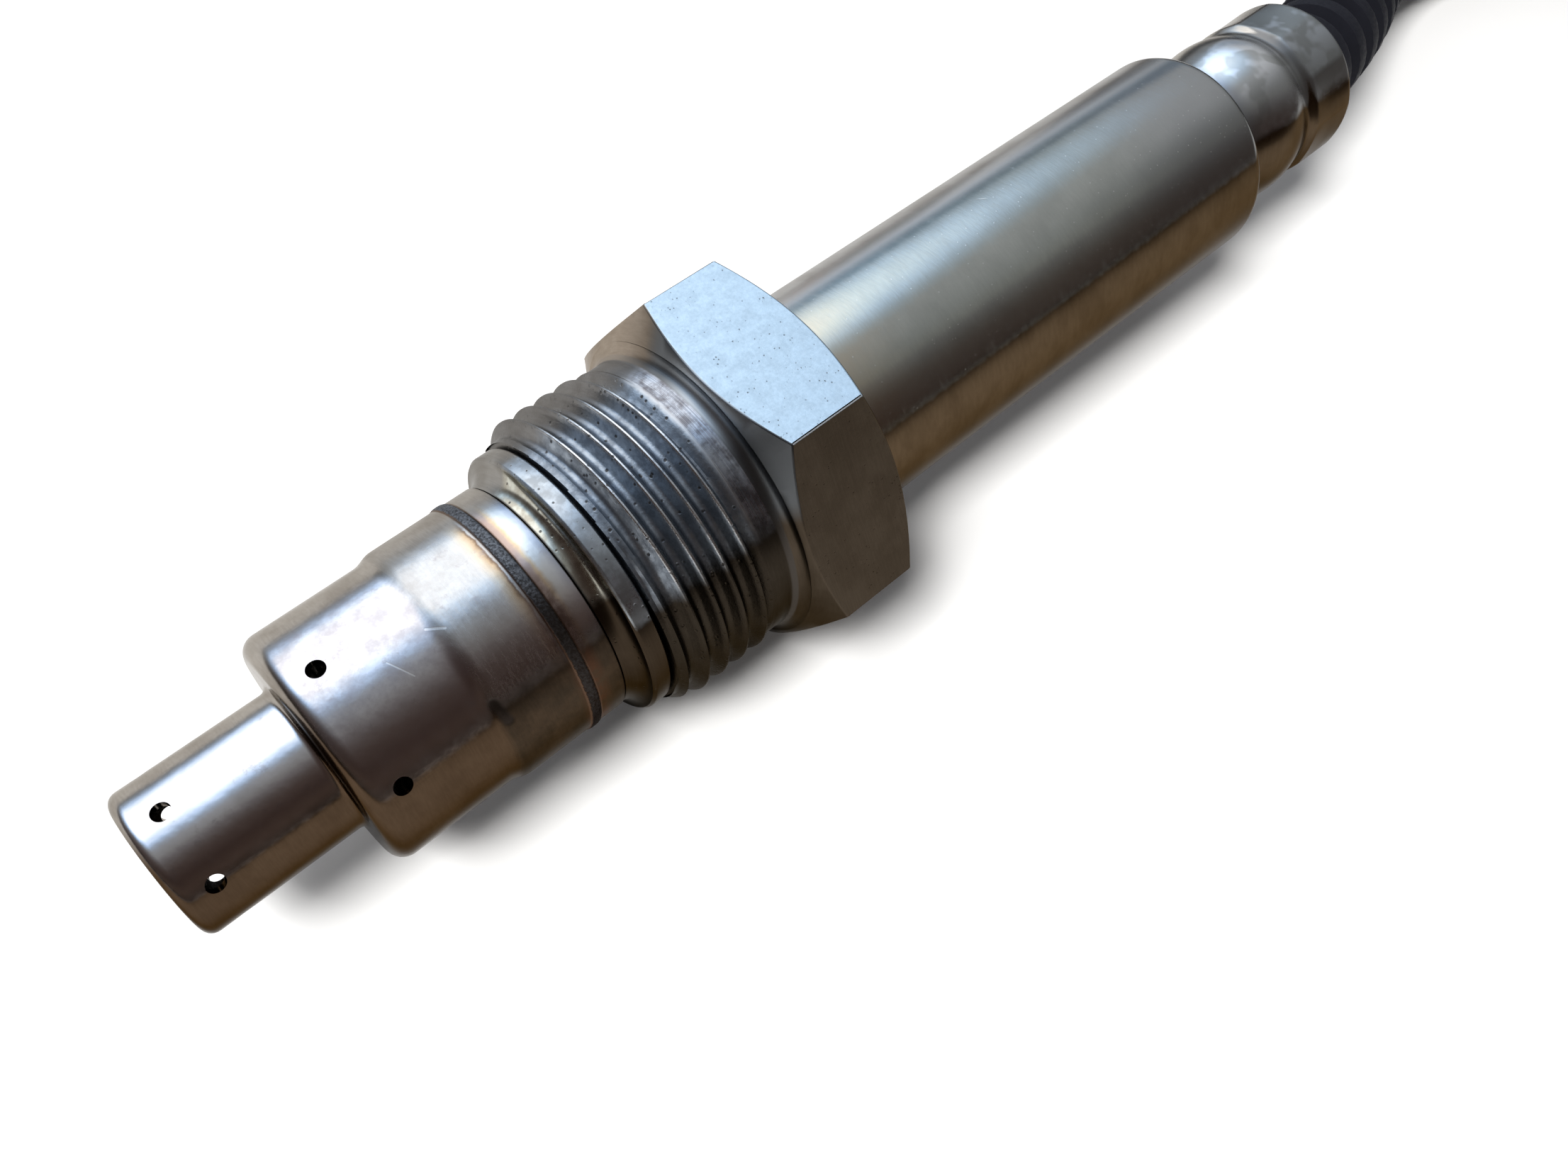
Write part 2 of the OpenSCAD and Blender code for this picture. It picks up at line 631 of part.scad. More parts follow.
// Drawn cap: flange inside the sleeve, rounded hump, groove and faceted crimp
module rear_cap() {
  r = cap_d / 2;
  neck_r = cap_neck_d / 2;
  flange_r = cap_flange_d / 2;
  hump_front = sleeve_back;
  shoulder_back = sleeve_back - sleeve_wall - fit_gap;
  groove_r = r - groove_depth;
  hump_end = groove_at - groove_w / 2;
  crimp_front = groove_at + groove_w / 2;
  lip_r = collar_bore_r + cap_wall;
  bore_r = cap_bore_r;
  color("silver") difference() {
    union() {
      turned(concat(
        [[0, cap_front], [flange_r, cap_front]],
        bend([neck_r - fit_gap, cap_shoulder - fit_gap], flange_r - neck_r + fit_gap,
          shoulder_back - cap_shoulder, 0, 90),
        [[neck_r, hump_front]],
        [for (i = [1:arc_steps + 1]) let (a = 180 * i / (arc_steps + 2))
          [neck_r + (r - neck_r) * sin(a), hump_front + (hump_end - hump_front) * i / (arc_steps + 2)]],
        [[neck_r, hump_end], [groove_r - edge_break, groove_at], [groove_r, crimp_front], [0, crimp_front]]));
      // Second crimp, with the flats of the crimping tool
      intersection() {
        turned(concat(
          [[0, crimp_front], [groove_r, crimp_front], [r + edge_break, crimp_front + groove_w / 2]],
          bend([r + edge_break - rim_round, cap_back - rim_round], rim_round, rim_round, 0, 90),
          [[0, cap_back]]));
        rotate([180 / crimp_flats, 0, 0]) rotate([0, 90, 0])
          translate([0, 0, crimp_front - overrun])
            cylinder(r = (r + edge_break / 2) / cos(90 / crimp_flats), h = crimp_len + 2 * overrun,
              $fn = crimp_flats);
      }
    }
    turned(concat(
      [[0, cap_front - overrun], [flange_r - cap_wall, cap_front - overrun],
       [flange_r - cap_wall, guide_back + fit_gap], [bore_r, cap_shoulder],
       [bore_r, hump_end - groove_depth], [bore_r - groove_depth, hump_end],
       [bore_r - groove_depth, grommet_back + fit_gap], [bore_r - groove_depth, cap_back - cap_wall],
       [lip_r, cap_back - cap_wall], [lip_r, cap_back + overrun], [0, cap_back + overrun]]));
  }
}

// Split collar that carries the conduit's end in the second crimp
module conduit_collar() {
  r0 = collar_bore_r;
  r1 = cap_bore_r - groove_depth - fit_gap;
  color("#202225") turned([[r0, conduit_front], [r1, conduit_front], [r1, cap_back - cap_wall - fit_gap],
    [r0, cap_back - cap_wall - fit_gap]]);
}

module wire(i) {
  color("whitesmoke") at_wire(i) bar(wire_d / 2, wire_front, grommet_back);
}

module wire_1() {
  wire(0);
}

module wire_2() {
  wire(1);
}

module wire_3() {
  wire(2);
}

module wire_4() {
  wire(3);
}

// Free stretch of conduit from the cap to the coil
module conduit_lead() {
  color("#1d2024") swept(lead_route, conduit_d / 2);
}

// Outer shape of the coil, two turns high
module conduit_coil() {
  color("#1d2024") translate([coil_x, coil_y, 0]) rotate_extrude($fn = round_fn)
    translate([coil_r - conduit_d / 2, floor_z]) square([conduit_d, 2 * conduit_d]);
}

// Free stretch of conduit from the coil to the plug
module conduit_tail() {
  color("#1d2024") swept(tail_route, conduit_d / 2);
}

// Strap round both turns of the coil, with its square head outside
module coil_tie() {
  head = 2 * tie_w;
  color("#2b2b2b") translate([coil_x, coil_y, 0]) rotate([0, 0, tie_turn]) {
    difference() {
      translate([coil_r - conduit_d / 2 - tie_t, -tie_w / 2, floor_z])
        cube([conduit_d + 2 * tie_t, tie_w, 2 * conduit_d + tie_t]);
      translate([coil_r - conduit_d / 2, -tie_w, floor_z + tie_t])
        cube([conduit_d, 2 * tie_w, 2 * conduit_d - tie_t]);
    }
    translate([coil_r + conduit_d / 2 + tie_t, -tie_w / 2, floor_z + conduit_d - head / 4])
      cube([tie_w, tie_w, head / 2]);
  }
}

// Box along the plug's axis with rounded long edges, from x0 back to x1
module plug_bar(x0, x1, w, h, r) {
  translate([x0, plug_y, plug_z]) rotate([90, 0, -90]) linear_extrude(x0 - x1) union() {
    square([w - 2 * r, h], center = true);
    square([w, h - 2 * r], center = true);
    for (sx = [-1, 1]) for (sy = [-1, 1])
      translate([sx * (w / 2 - r), sy * (h / 2 - r)]) circle(r = r, $fn = small_fn);
  }
}

module at_socket(i) {
  y = plug_y + (i % 2 == 0 ? -1 : 1) * socket_pitch / 2;
  z = plug_z + (i < 2 ? -1 : 1) * socket_pitch / 2;
  translate([plug_x - clamp_len - plug_len, y, z]) children();
}

// Moulded plug body with a stepped nose, keying ribs and four contact openings
module plug_housing() {
  back = plug_x - clamp_len;
  front = back - plug_len;
  step_at = front + plug_nose_len;
  color("#26282b") difference() {
    union() {
      plug_bar(back, step_at, plug_w, plug_h, plug_round);
      plug_bar(step_at, front, plug_w - 2 * plug_step, plug_h - 2 * plug_step, plug_round);
      // Keying ribs on both sides of the nose
      for (s = [-1, 1])
        translate([front + seal_w + plug_step, plug_y + s * (plug_w / 2 - plug_step) - plug_step / 2,
          plug_z - plug_step / 2])
          cube([plug_nose_len - seal_w - plug_step, plug_step, plug_step]);
    }
    for (i = [0:3]) at_socket(i) translate([-overrun, -socket_w / 2, -socket_w / 2])
      cube([socket_depth + overrun, socket_w, socket_w]);
  }
}

// Sprung latch lever on top of the plug
module plug_latch() {
  back = plug_x - clamp_len;
  z0 = plug_z + plug_h / 2;
  foot = latch_gap + latch_t;
  color("#303236") translate([back, plug_y + latch_w / 2, z0]) rotate([90, 0, 0])
    linear_extrude(latch_w) polygon([
      [0, 0], [0, foot - latch_t / 2], [-latch_t / 2, foot], [-latch_len, foot],
      [-latch_len, latch_gap / 2], [-latch_len + latch_t, latch_gap / 2],
      [-latch_len + latch_t + latch_gap / 2, latch_gap], [-foot - latch_gap / 2, latch_gap],
      [-foot, latch_gap / 2], [-foot, 0]]);
}

// Soft seal round the nose
module plug_seal() {
  front = plug_x - clamp_len - plug_len;
  x0 = front + seal_w + plug_step / 2;
  w = plug_w - 2 * plug_step;
  h = plug_h - 2 * plug_step;
  color("sienna") difference() {
    plug_bar(x0, x0 - seal_w, w + 2 * seal_t, h + 2 * seal_t, plug_round + seal_t);
    plug_bar(x0 + overrun, x0 - seal_w - overrun, w + 2 * fit_gap, h + 2 * fit_gap, plug_round);
  }
}

// Slide that locks the contacts in place, in the side of the plug
module plug_lock() {
  back = plug_x - clamp_len;
  w = latch_w;
  t = latch_t;
  color("tomato") translate([back - plug_len / 2, plug_y + plug_w / 2 + fit_gap, plug_z - t])
    cube([w, t, 2 * t]);
}

// Two-part clamp that holds the conduit's end on the plug
module plug_clamp() {
  r = clamp_d / 2;
  grip = conduit_d / 2 + fit_gap;
  color("#26282b") translate([plug_x - clamp_len + fit_gap, plug_y, plug_z]) rotate([0, 90, 0])
    difference() {
      union() {
        cylinder(r = r, h = clamp_len / 4, $fn = small_fn);
        cylinder(r = r - latch_t / 2, h = clamp_len, $fn = small_fn);
      }
      translate([0, 0, clamp_len / 4]) cylinder(r = grip, h = clamp_len, $fn = small_fn);
    }
}

// Female terminal at the bottom of each contact opening
module socket(i) {
  wall = contact_t;
  color("gold") at_socket(i) translate([loose_gap * 2, 0, 0]) difference() {
    translate([0, -socket_w / 2 + fit_gap, -socket_w / 2 + fit_gap])
      cube([socket_depth - 2 * loose_gap, socket_w - 2 * fit_gap, socket_w - 2 * fit_gap]);
    translate([-overrun, -socket_w / 2 + wall + fit_gap, -socket_w / 2 + wall + fit_gap])
      cube([socket_depth - 2 * wall + overrun, socket_w - 2 * (wall + fit_gap), socket_w - 2 * (wall + fit_gap)]);
  }
}

module socket_1() {
  socket(0);
}

module socket_2() {
  socket(1);
}

module socket_3() {
  socket(2);
}

module socket_4() {
  socket(3);
}

outer_tube();
inner_tube();
housing();
gland_nut();
element();
front_bush();
powder_ring();
rear_bush();
seal_ring();
sleeve();
block_top();
block_bottom();
block_clip();
contact_1();
contact_2();
contact_3();
contact_4();
wire_guide();
grommet();
rear_cap();
conduit_collar();
wire_1();
wire_2();
wire_3();
wire_4();
conduit_lead();
conduit_coil();
conduit_tail();
coil_tie();
plug_housing();
plug_latch();
plug_seal();
plug_lock();
plug_clamp();
socket_1();
socket_2();
socket_3();
socket_4();
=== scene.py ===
import math
import bpy
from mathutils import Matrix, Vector


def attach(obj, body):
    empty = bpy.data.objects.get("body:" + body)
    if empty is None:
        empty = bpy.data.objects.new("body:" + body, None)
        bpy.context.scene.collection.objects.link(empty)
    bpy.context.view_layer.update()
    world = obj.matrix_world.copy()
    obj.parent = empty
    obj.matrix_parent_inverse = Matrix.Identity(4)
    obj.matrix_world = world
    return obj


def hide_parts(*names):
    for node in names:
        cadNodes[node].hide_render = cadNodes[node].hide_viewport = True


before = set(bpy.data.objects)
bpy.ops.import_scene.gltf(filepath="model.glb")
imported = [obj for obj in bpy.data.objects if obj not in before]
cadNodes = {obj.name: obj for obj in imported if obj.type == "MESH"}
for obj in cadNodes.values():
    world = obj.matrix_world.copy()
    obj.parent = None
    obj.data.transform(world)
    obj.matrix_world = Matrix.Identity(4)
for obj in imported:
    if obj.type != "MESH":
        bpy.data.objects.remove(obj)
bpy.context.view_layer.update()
mm = 0.001
fullTurn = 2 * math.pi
mergeReach = 2e-6
print("frame loaded:", len(cadNodes), "nodes")


# Small helpers for picking and turning

def pickNone():
    active = bpy.context.view_layer.objects.active
    if active and active.mode != "OBJECT":
        bpy.ops.object.mode_set(mode="OBJECT")
    bpy.ops.object.select_all(action="DESELECT")


def pickOnly(*pieces):
    pickNone()
    for piece in pieces:
        piece.select_set(True)
    bpy.context.view_layer.objects.active = pieces[0]


def applyModifier(piece, kind, **settings):
    pickOnly(piece)
    bpy.ops.object.modifier_add(type=kind)
    modifier = piece.modifiers[-1]
    for key, value in settings.items():
        setattr(modifier, key, value)
    bpy.ops.object.modifier_apply(modifier=modifier.name)


def editMesh(piece, *steps):
    # each step is a mesh tool and its settings, and works on the whole mesh
    pickOnly(piece)
    bpy.ops.object.mode_set(mode="EDIT")
    for tool, settings in steps:
        bpy.ops.mesh.select_all(action="SELECT")
        tool(**settings)
    bpy.ops.object.mode_set(mode="OBJECT")
    return piece


weldPoints = (bpy.ops.mesh.remove_doubles, {"threshold": mergeReach})
turnOutward = (bpy.ops.mesh.normals_make_consistent, {"inside": False})


def spinBy(sides):
    return bpy.ops.mesh.spin, {"steps": sides, "angle": fullTurn, "center": (0, 0, 0), "axis": (1, 0, 0)}


def cutAt(x, **settings):
    return bpy.ops.mesh.bisect, {"plane_co": (x * mm, 0, 0), "plane_no": (1, 0, 0), **settings}


def cutWith(piece, tool, how="DIFFERENCE"):
    applyModifier(piece, "BOOLEAN", object=tool, operation=how, solver="EXACT")
    bpy.data.objects.remove(tool)


def smoothEdges(piece, degrees):
    pickOnly(piece)
    bpy.ops.object.shade_smooth_by_angle(angle=math.radians(degrees))
    return piece


def arc(x, r, size, start, end, steps):
    # points of a quarter round in a turned outline, 0 degrees along the axis and 90 outwards
    points = []
    for i in range(steps + 1):
        a = math.radians(start + (end - start) * i / steps)
        points.append((x + size * math.cos(a), r + size * math.sin(a)))
    return points


def easeRise(x0, r0, x1, r1, steps=8):
    return [(x0 + (x1 - x0) * i / steps, r0 + (r1 - r0) * (1 - math.cos(math.pi * i / steps)) / 2)
            for i in range(steps + 1)]


def drawnEdge(name, outline):
    # a single vertex is pulled along the outline, (station, radius) in millimetres
    pickNone()
    bpy.ops.mesh.primitive_plane_add(size=mm, location=(outline[0][0] * mm, 0, outline[0][1] * mm))
    piece = bpy.context.object
    piece.name = piece.data.name = name
    bpy.ops.object.transform_apply(location=True, rotation=True, scale=True)
    bpy.ops.object.mode_set(mode="EDIT")
    bpy.ops.mesh.select_all(action="SELECT")
    bpy.ops.mesh.merge(type="CENTER")
    for before, after in zip(outline, outline[1:]):
        step = ((after[0] - before[0]) * mm, 0, (after[1] - before[1]) * mm)
        bpy.ops.mesh.extrude_vertices_move(TRANSFORM_OT_translate={"value": step})
    bpy.ops.object.mode_set(mode="OBJECT")
    return piece


def turnedPiece(name, outline, sides):
    return editMesh(drawnEdge(name, outline), spinBy(sides), weldPoints, turnOutward)


# Camera, as the photograph was taken

cameraValues = {
    "lens": 30.75,
    "place": (-0.02052, -0.03416, 0.07086),
    "turnDegrees": (29.112, -4.4997, -42.4436),
    "sensor": 36,
    "nearest": 0.002,
}
bpy.ops.object.camera_add(
    location=cameraValues["place"],
    rotation=[math.radians(a) for a in cameraValues["turnDegrees"]])
camera = bpy.context.object
camera.name = "photoCamera"
camera.data.lens = cameraValues["lens"]
camera.data.sensor_width = cameraValues["sensor"]
camera.data.clip_start = cameraValues["nearest"]
bpy.context.scene.camera = camera
print("camera placed")


# Conduit: one free hose of corrugated plastic

conduitValues = {
    "diameter": 8.8,
    "valley": 7.3,
    "pitch": 2.7,
    "sides": 28,
    "coilCentre": (148, 43),
    "coilRadius": 45,
    "coilDegrees": (-75, 450, 15),
    "lowLayer": -6.6,
    "highLayer": 2.2,
    "lead": [(68, 0, 0), (73, 0, 0), (77.5, 0.6, -0.2), (83.5, 2.1, -0.9), (90, 4.4, -2.1),
             (97, 6.3, -3.7), (104.5, 7, -5.2), (112, 5.9, -6.3), (120, 3.7, -6.6),
             (128, 1.4, -6.6), (137, -1, -6.6), (146, -2, -6.6)],
    "tail": [(139, 88, 2.2), (131, 87.4, 1.9), (124, 86, 0.9), (117, 84, -1.2), (110.5, 82.2, -3.3),
             (104, 81.2, -4.4), (98, 81, -4.5), (92.2, 81, -4.5)],
}


def conduitRoute(values):
    cx, cy = values["coilCentre"]
    points = list(values["lead"])
    first, last, step = values["coilDegrees"]
    for degrees in range(first, last + 1, step):
        if degrees < 90:
            height = 0
        elif degrees < 270:
            height = (1 - math.cos(math.pi * (degrees - 90) / 180)) / 2
        else:
            height = 1
        a = math.radians(degrees)
        z = values["lowLayer"] + (values["highLayer"] - values["lowLayer"]) * height
        points.append((cx + values["coilRadius"] * math.cos(a), cy + values["coilRadius"] * math.sin(a), z))
    return [Vector(p) * mm for p in points + list(values["tail"])]


def makeConduit(values):
    route = conduitRoute(values)
    pickNone()
    bpy.ops.curve.primitive_bezier_curve_add()
    guide = bpy.context.object
    guide.name = "conduitGuide"
    spline = guide.data.splines[0]
    spline.bezier_points.add(len(route) - len(spline.bezier_points))
    for knot, point in zip(spline.bezier_points, route):
        knot.co = point
        knot.handle_left_type = knot.handle_right_type = "AUTO"
    guide.data.dimensions = "3D"
    guide.data.resolution_u = 10
    guide.data.twist_mode = "Z_UP"
    bpy.context.view_layer.update()
    bare = bpy.data.meshes.new_from_object(guide)
    line = [v.co.copy() for v in bare.vertices]
    bpy.data.meshes.remove(bare)
    length = sum((b - a).length for a, b in zip(line, line[1:]))
    turns = round(length / (values["pitch"] * mm))
    pitch = length / turns / mm
    crest, valley = values["diameter"] / 2, values["valley"] / 2
    rise = crest - valley
    ring = [(0, valley), (0.13, valley), (0.2, valley + 0.5 * rise), (0.27, crest - 0.04), (0.36, crest),
            (0.64, crest), (0.73, crest - 0.04), (0.8, valley + 0.5 * rise), (0.87, valley), (1, valley)]
    piece = drawnEdge("conduit", [(share * pitch, r) for share, r in ring])
    editMesh(piece, spinBy(values["sides"]), weldPoints)
    applyModifier(piece, "ARRAY", fit_type="FIXED_COUNT", count=turns, use_relative_offset=False,
                  use_constant_offset=True, constant_offset_displace=(pitch * mm, 0, 0),
                  use_merge_vertices=True, merge_threshold=mergeReach)
    applyModifier(piece, "CURVE", object=guide, deform_axis="POS_X")
    editMesh(piece, (bpy.ops.mesh.fill_holes, {"sides": 0}), turnOutward)
    smoothEdges(piece, 40)
    bpy.data.objects.remove(guide)
    print("conduit:", turns, "rings,", round(length, 4), "m")
    return piece, line, length


conduit, conduitLine, conduitLength = makeConduit(conduitValues)
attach(conduit, "probe")
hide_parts("conduit_lead", "conduit_coil", "conduit_tail")


# Nut: thread, plain neck and chamfered hexagon

nutValues = {
    "front": 1.4,
    "back": 18.5,
    "hexFront": 10.7,
    "acrossFlats": 22,
    "faceRadius": 10.6,
    "chamferDegrees": 30,
    "bore": 7.78,
    "threadRadius": 10,
    "threadDepth": 0.8,
    "threadPitch": 1.5,
    "firstCrest": 2.87,
    "runOut": (7.75, 8.75),
    "neckRadius": 9.75,
    "neckFillet": 1,
    "leadLength": 0.95,
    "leadDepth": 1.05,
    "edgeRound": 0.14,
    "roundedFrom": 22,
    "sides": 144,
}


def threadSkin(v):
    root, crest, p = v["threadRadius"] - v["threadDepth"], v["threadRadius"], v["threadPitch"]
    first = v["firstCrest"] - 2 * p
    depth = crest - root
    shape = [(-0.5, root), (-0.4, root + 0.03 * depth), (-0.3, root + 0.16 * depth), (-0.16, root + 0.6 * depth),
             (-0.07, crest - 0.06 * depth), (-0.03, crest), (0.03, crest), (0.07, crest - 0.06 * depth),
             (0.16, root + 0.6 * depth), (0.3, root + 0.16 * depth), (0.4, root + 0.03 * depth), (0.5, root)]
    skin = drawnEdge("threadSkin", [(first + share * p, r) for share, r in shape])
    applyModifier(skin, "SCREW", axis="X", angle=fullTurn, screw_offset=p * mm, iterations=8, steps=v["sides"],
                  render_steps=v["sides"], use_merge_vertices=True, merge_threshold=mergeReach)
    editMesh(skin, weldPoints, cutAt(v["front"] + 0.02, clear_inner=True),
             cutAt(v["runOut"][1] + 0.3, clear_outer=True), turnOutward)
    leadEnd = v["front"] + v["leadLength"]
    start, end = v["runOut"]
    for vertex in skin.data.vertices:  # the thread dies out at both ends
        x, r = vertex.co.x / mm, math.hypot(vertex.co.y, vertex.co.z) / mm
        top = crest if x > leadEnd else crest - v["leadDepth"] * (leadEnd - x) / v["leadLength"]
        share = min(1, max(0, (x - start) / (end - start)))
        low = root + (v["neckRadius"] - 0.02 - root) * share * share * (3 - 2 * share)
        top = min(top, crest + (v["neckRadius"] - 0.02 - crest) * min(1, max(0, (x - start - 0.35) / 0.6)))
        wanted = min(max(r, low), max(top, low))
        vertex.co.y *= wanted / r
        vertex.co.z *= wanted / r
    return skin


def makeNut(v):
    slope = math.tan(math.radians(v["chamferDegrees"]))
    corner = v["acrossFlats"] / 2 / math.cos(math.pi / 6)
    over = corner + 1  # the cone reaches past the corners
    middle = (v["hexFront"] + v["back"]) / 2
    pickNone()
    bpy.ops.mesh.primitive_cylinder_add(vertices=6, radius=corner * mm, depth=(v["back"] - v["hexFront"]) * mm,
                                        location=(middle * mm, 0, 0), rotation=(0, math.pi / 2, 0))
    nut = bpy.context.object
    nut.name = nut.data.name = "glandNut"
    bpy.ops.object.transform_apply(location=True, rotation=True, scale=True)
    face, rise = v["faceRadius"], (over - v["faceRadius"]) * slope
    cone = turnedPiece("hexCone", [(v["hexFront"], 0), (v["hexFront"], face), (v["hexFront"] + rise, over),
                                   (v["back"] - rise, over), (v["back"], face), (v["back"], 0)], v["sides"])
    cutWith(nut, cone, "INTERSECT")
    pickNone()
    bpy.ops.mesh.primitive_cylinder_add(vertices=v["sides"], radius=v["bore"] * mm, depth=0.02,
                                        location=(middle * mm, 0, 0), rotation=(0, math.pi / 2, 0))
    cutWith(nut, bpy.context.object)
    applyModifier(nut, "BEVEL", width=v["edgeRound"] * mm, segments=2, limit_method="ANGLE",
                  angle_limit=math.radians(v["roundedFrom"]), use_clamp_overlap=True)
    neck, core, bore = v["neckRadius"], v["threadRadius"] - v["threadDepth"] - 0.03, v["bore"] + 0.01
    fillet = v["neckFillet"]
    body = turnedPiece("nutNeck", [
        (v["front"], bore + 0.4), (v["front"], v["threadRadius"] - v["leadDepth"]), (v["front"] + 0.1, core),
        (v["runOut"][1] - 0.1, core), (v["runOut"][1] - 0.1, neck - 0.06), (v["runOut"][1], neck)]
        + arc(v["hexFront"] - fillet, neck + fillet, fillet, -90, -8, 8)
        + [(v["hexFront"] + 0.06, neck + fillet - 0.3), (v["hexFront"] + 0.6, neck + fillet - 0.3),
           (v["hexFront"] + 0.6, bore), (v["front"] + 0.4, bore), (v["front"], bore + 0.4)], v["sides"])
    skin = threadSkin(v)
    pickOnly(nut, body, skin)
    bpy.ops.object.join()
    smoothEdges(nut, 35)
    applyModifier(nut, "WEIGHTED_NORMAL", keep_sharp=True)
    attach(nut, "nut")
    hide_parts("gland_nut")
    print("nut:", len(nut.data.polygons), "faces")
    return nut


glandNut = makeNut(nutValues)


# Protection tube: slim tip, shoulder, wide middle, wider root and lap weld

tubeValues = {
    "tipEnd": -26.43,
    "shoulder": -16.73,
    "stepFront": -9.23,
    "stepBack": -7.93,
    "end": -1.23,
    "tipRadius": 4.55,
    "midRadius": 7.48,
    "rootRadius": 7.78,
    "wall": 0.5,
    "tipRound": 0.7,
    "shoulderRound": 1.1,
    "shoulderFillet": 0.45,
    "outletRadius": 1.1,
    "weldAt": -3.38,
    "weldWidth": 0.8,
    "weldRise": 0.1,
    "holeRadius": 0.55,
    "holeRows": (-24.38, -14.53),
    "holeTurn": 86,
    "holeSides": 28,
    "sides": 160,
}


def makeTube(v):
    wall, tip, mid, root = v["wall"], v["tipRadius"], v["midRadius"], v["rootRadius"]
    nose, fillet, bend = v["tipRound"], v["shoulderFillet"], v["shoulderRound"]
    weld = [(v["weldAt"] + v["weldWidth"] / 2 * share, root + v["weldRise"] * rise)
            for share, rise in ((-1, 0), (-0.8, 0.55), (-0.5, 0.9), (0, 1), (0.5, 0.9), (0.8, 0.55), (1, 0))]
    outline = [(v["tipEnd"], v["outletRadius"])]
    outline += arc(v["tipEnd"] + nose, tip - nose, nose, 180, 90, 7)
    outline += arc(v["shoulder"] - fillet, tip + fillet, fillet, -90, 0, 6)
    outline += arc(v["shoulder"] + bend, mid - bend, bend, 180, 90, 8)
    outline += easeRise(v["stepFront"], mid, v["stepBack"], root)
    outline += weld
    outline += [(v["end"] - 0.1, root), (v["end"] - 0.03, root - 0.03), (v["end"], root - 0.1), (v["end"], root - wall)]
    outline += easeRise(v["stepBack"], root - wall, v["stepFront"], mid - wall, 5)
    outline += arc(v["shoulder"] + bend, mid - bend, bend - wall, 90, 180, 5)
    outline += arc(v["shoulder"] - fillet, tip + fillet, fillet + wall, 0, -90, 5)
    outline += [(v["tipEnd"] + wall, tip - wall), (v["tipEnd"] + wall, v["outletRadius"]),
                (v["tipEnd"], v["outletRadius"])]
    tube = turnedPiece("outerTube", outline, v["sides"])
    for row in v["holeRows"]:  # three drills right through make six holes
        for i in range(3):
            a = math.radians(v["holeTurn"] - 90 + 60 * i)
            pickNone()
            bpy.ops.mesh.primitive_cylinder_add(vertices=v["holeSides"], radius=v["holeRadius"] * mm, depth=0.03,
                                                location=(row * mm, 0, 0), rotation=(a, 0, 0))
            cutWith(tube, bpy.context.object)
    smoothEdges(tube, 32)
    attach(tube, "probe")
    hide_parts("outer_tube")
    print("tube:", len(tube.data.polygons), "faces")
    return tube


outerTube = makeTube(tubeValues)


# Housing: sealing collar with its hollow flare, and the hidden shank

housingValues = {
    "spigotFront": -5.63,
    "spigotRadius": 7.25,
    "flareFront": -1.2,
    "rootRadius": 7.78,
    "collarRadius": 9,
    "collarBack": 1.2,
    "edge": 0.16,
    "shankRadius": 7.7,
    "shankBack": 6.4,
    "seatRadius": 7.12,
    "back": 15.4,
    "lip": 0.7,
    "lipRadius": 4.8,
    "cavityRadius": 5.7,
    "cavityFront": 0.37,
    "boreRadius": 4.5,
    "sides": 160,
}


def makeHousing(v):
    edge, collar = v["edge"], v["collarRadius"]
    flareEnd = collar - edge
    flare = [(v["flareFront"] + 0.04 + (0 - v["flareFront"] - 0.04 - edge * 0.6) * math.sin(math.radians(a)),
              flareEnd - (flareEnd - v["rootRadius"] + 0.08) * math.cos(math.radians(a))) for a in range(0, 91, 9)]
    outline = [(v["spigotFront"], v["boreRadius"]), (v["spigotFront"], v["spigotRadius"] - 0.1),
               (v["spigotFront"] + 0.1, v["spigotRadius"]), (v["flareFront"], v["spigotRadius"])]
    outline += flare
    outline += arc(edge, collar - edge, edge, 140, 90, 3)
    outline += arc(v["collarBack"] - edge, collar - edge, edge, 90, 0, 4)
    outline += [(v["collarBack"], v["shankRadius"]), (v["shankBack"], v["shankRadius"]),
                (v["shankBack"], v["seatRadius"]), (v["back"] - v["lip"], v["seatRadius"]),
                (v["back"], v["lipRadius"] + v["lip"]), (v["back"], v["lipRadius"]),
                (v["back"] - v["lip"], v["lipRadius"]), (v["back"] - v["lip"], v["cavityRadius"]),
                (v["cavityFront"], v["cavityRadius"]), (v["cavityFront"], v["boreRadius"]),
                (v["spigotFront"], v["boreRadius"])]
    housing = smoothEdges(turnedPiece("probeHousing", outline, v["sides"]), 32)
    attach(housing, "probe")
    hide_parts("housing")
    return housing


probeHousing = makeHousing(housingValues)


# Long sleeve, rolled in at the rear

sleeveValues = {
    "front": 6.43,
    "back": 59.38,
    "radius": 7.7,
    "wall": 0.55,
    "edge": 0.12,
    "round": 1.2,
    "mouth": 6.3,
    "sides": 160,
}


def makeSleeve(v):
    inner, bend, edge = v["radius"] - v["wall"], v["round"], v["edge"]
    straight = v["back"] - bend - v["front"] - edge
    outline = [(v["front"], inner), (v["front"], v["radius"] - edge), (v["front"] + edge, v["radius"])]
    outline += [(v["front"] + edge + straight * i / 6, v["radius"]) for i in range(1, 6)]
    outline += arc(v["back"] - bend, v["radius"] - bend, bend, 90, 0, 10)
    outline += [(v["back"], v["mouth"]), (v["back"] - v["wall"], v["mouth"])]
    outline += arc(v["back"] - bend, v["radius"] - bend, bend - v["wall"], 0, 90, 6)
    outline += [(v["front"], inner)]
    sleeve = smoothEdges(turnedPiece("longSleeve", outline, v["sides"]), 32)
    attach(sleeve, "probe")
    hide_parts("sleeve")
    return sleeve


longSleeve = makeSleeve(sleeveValues)


# Crimped cap: flange in the sleeve, rounded hump, groove and a second crimp with soft flats

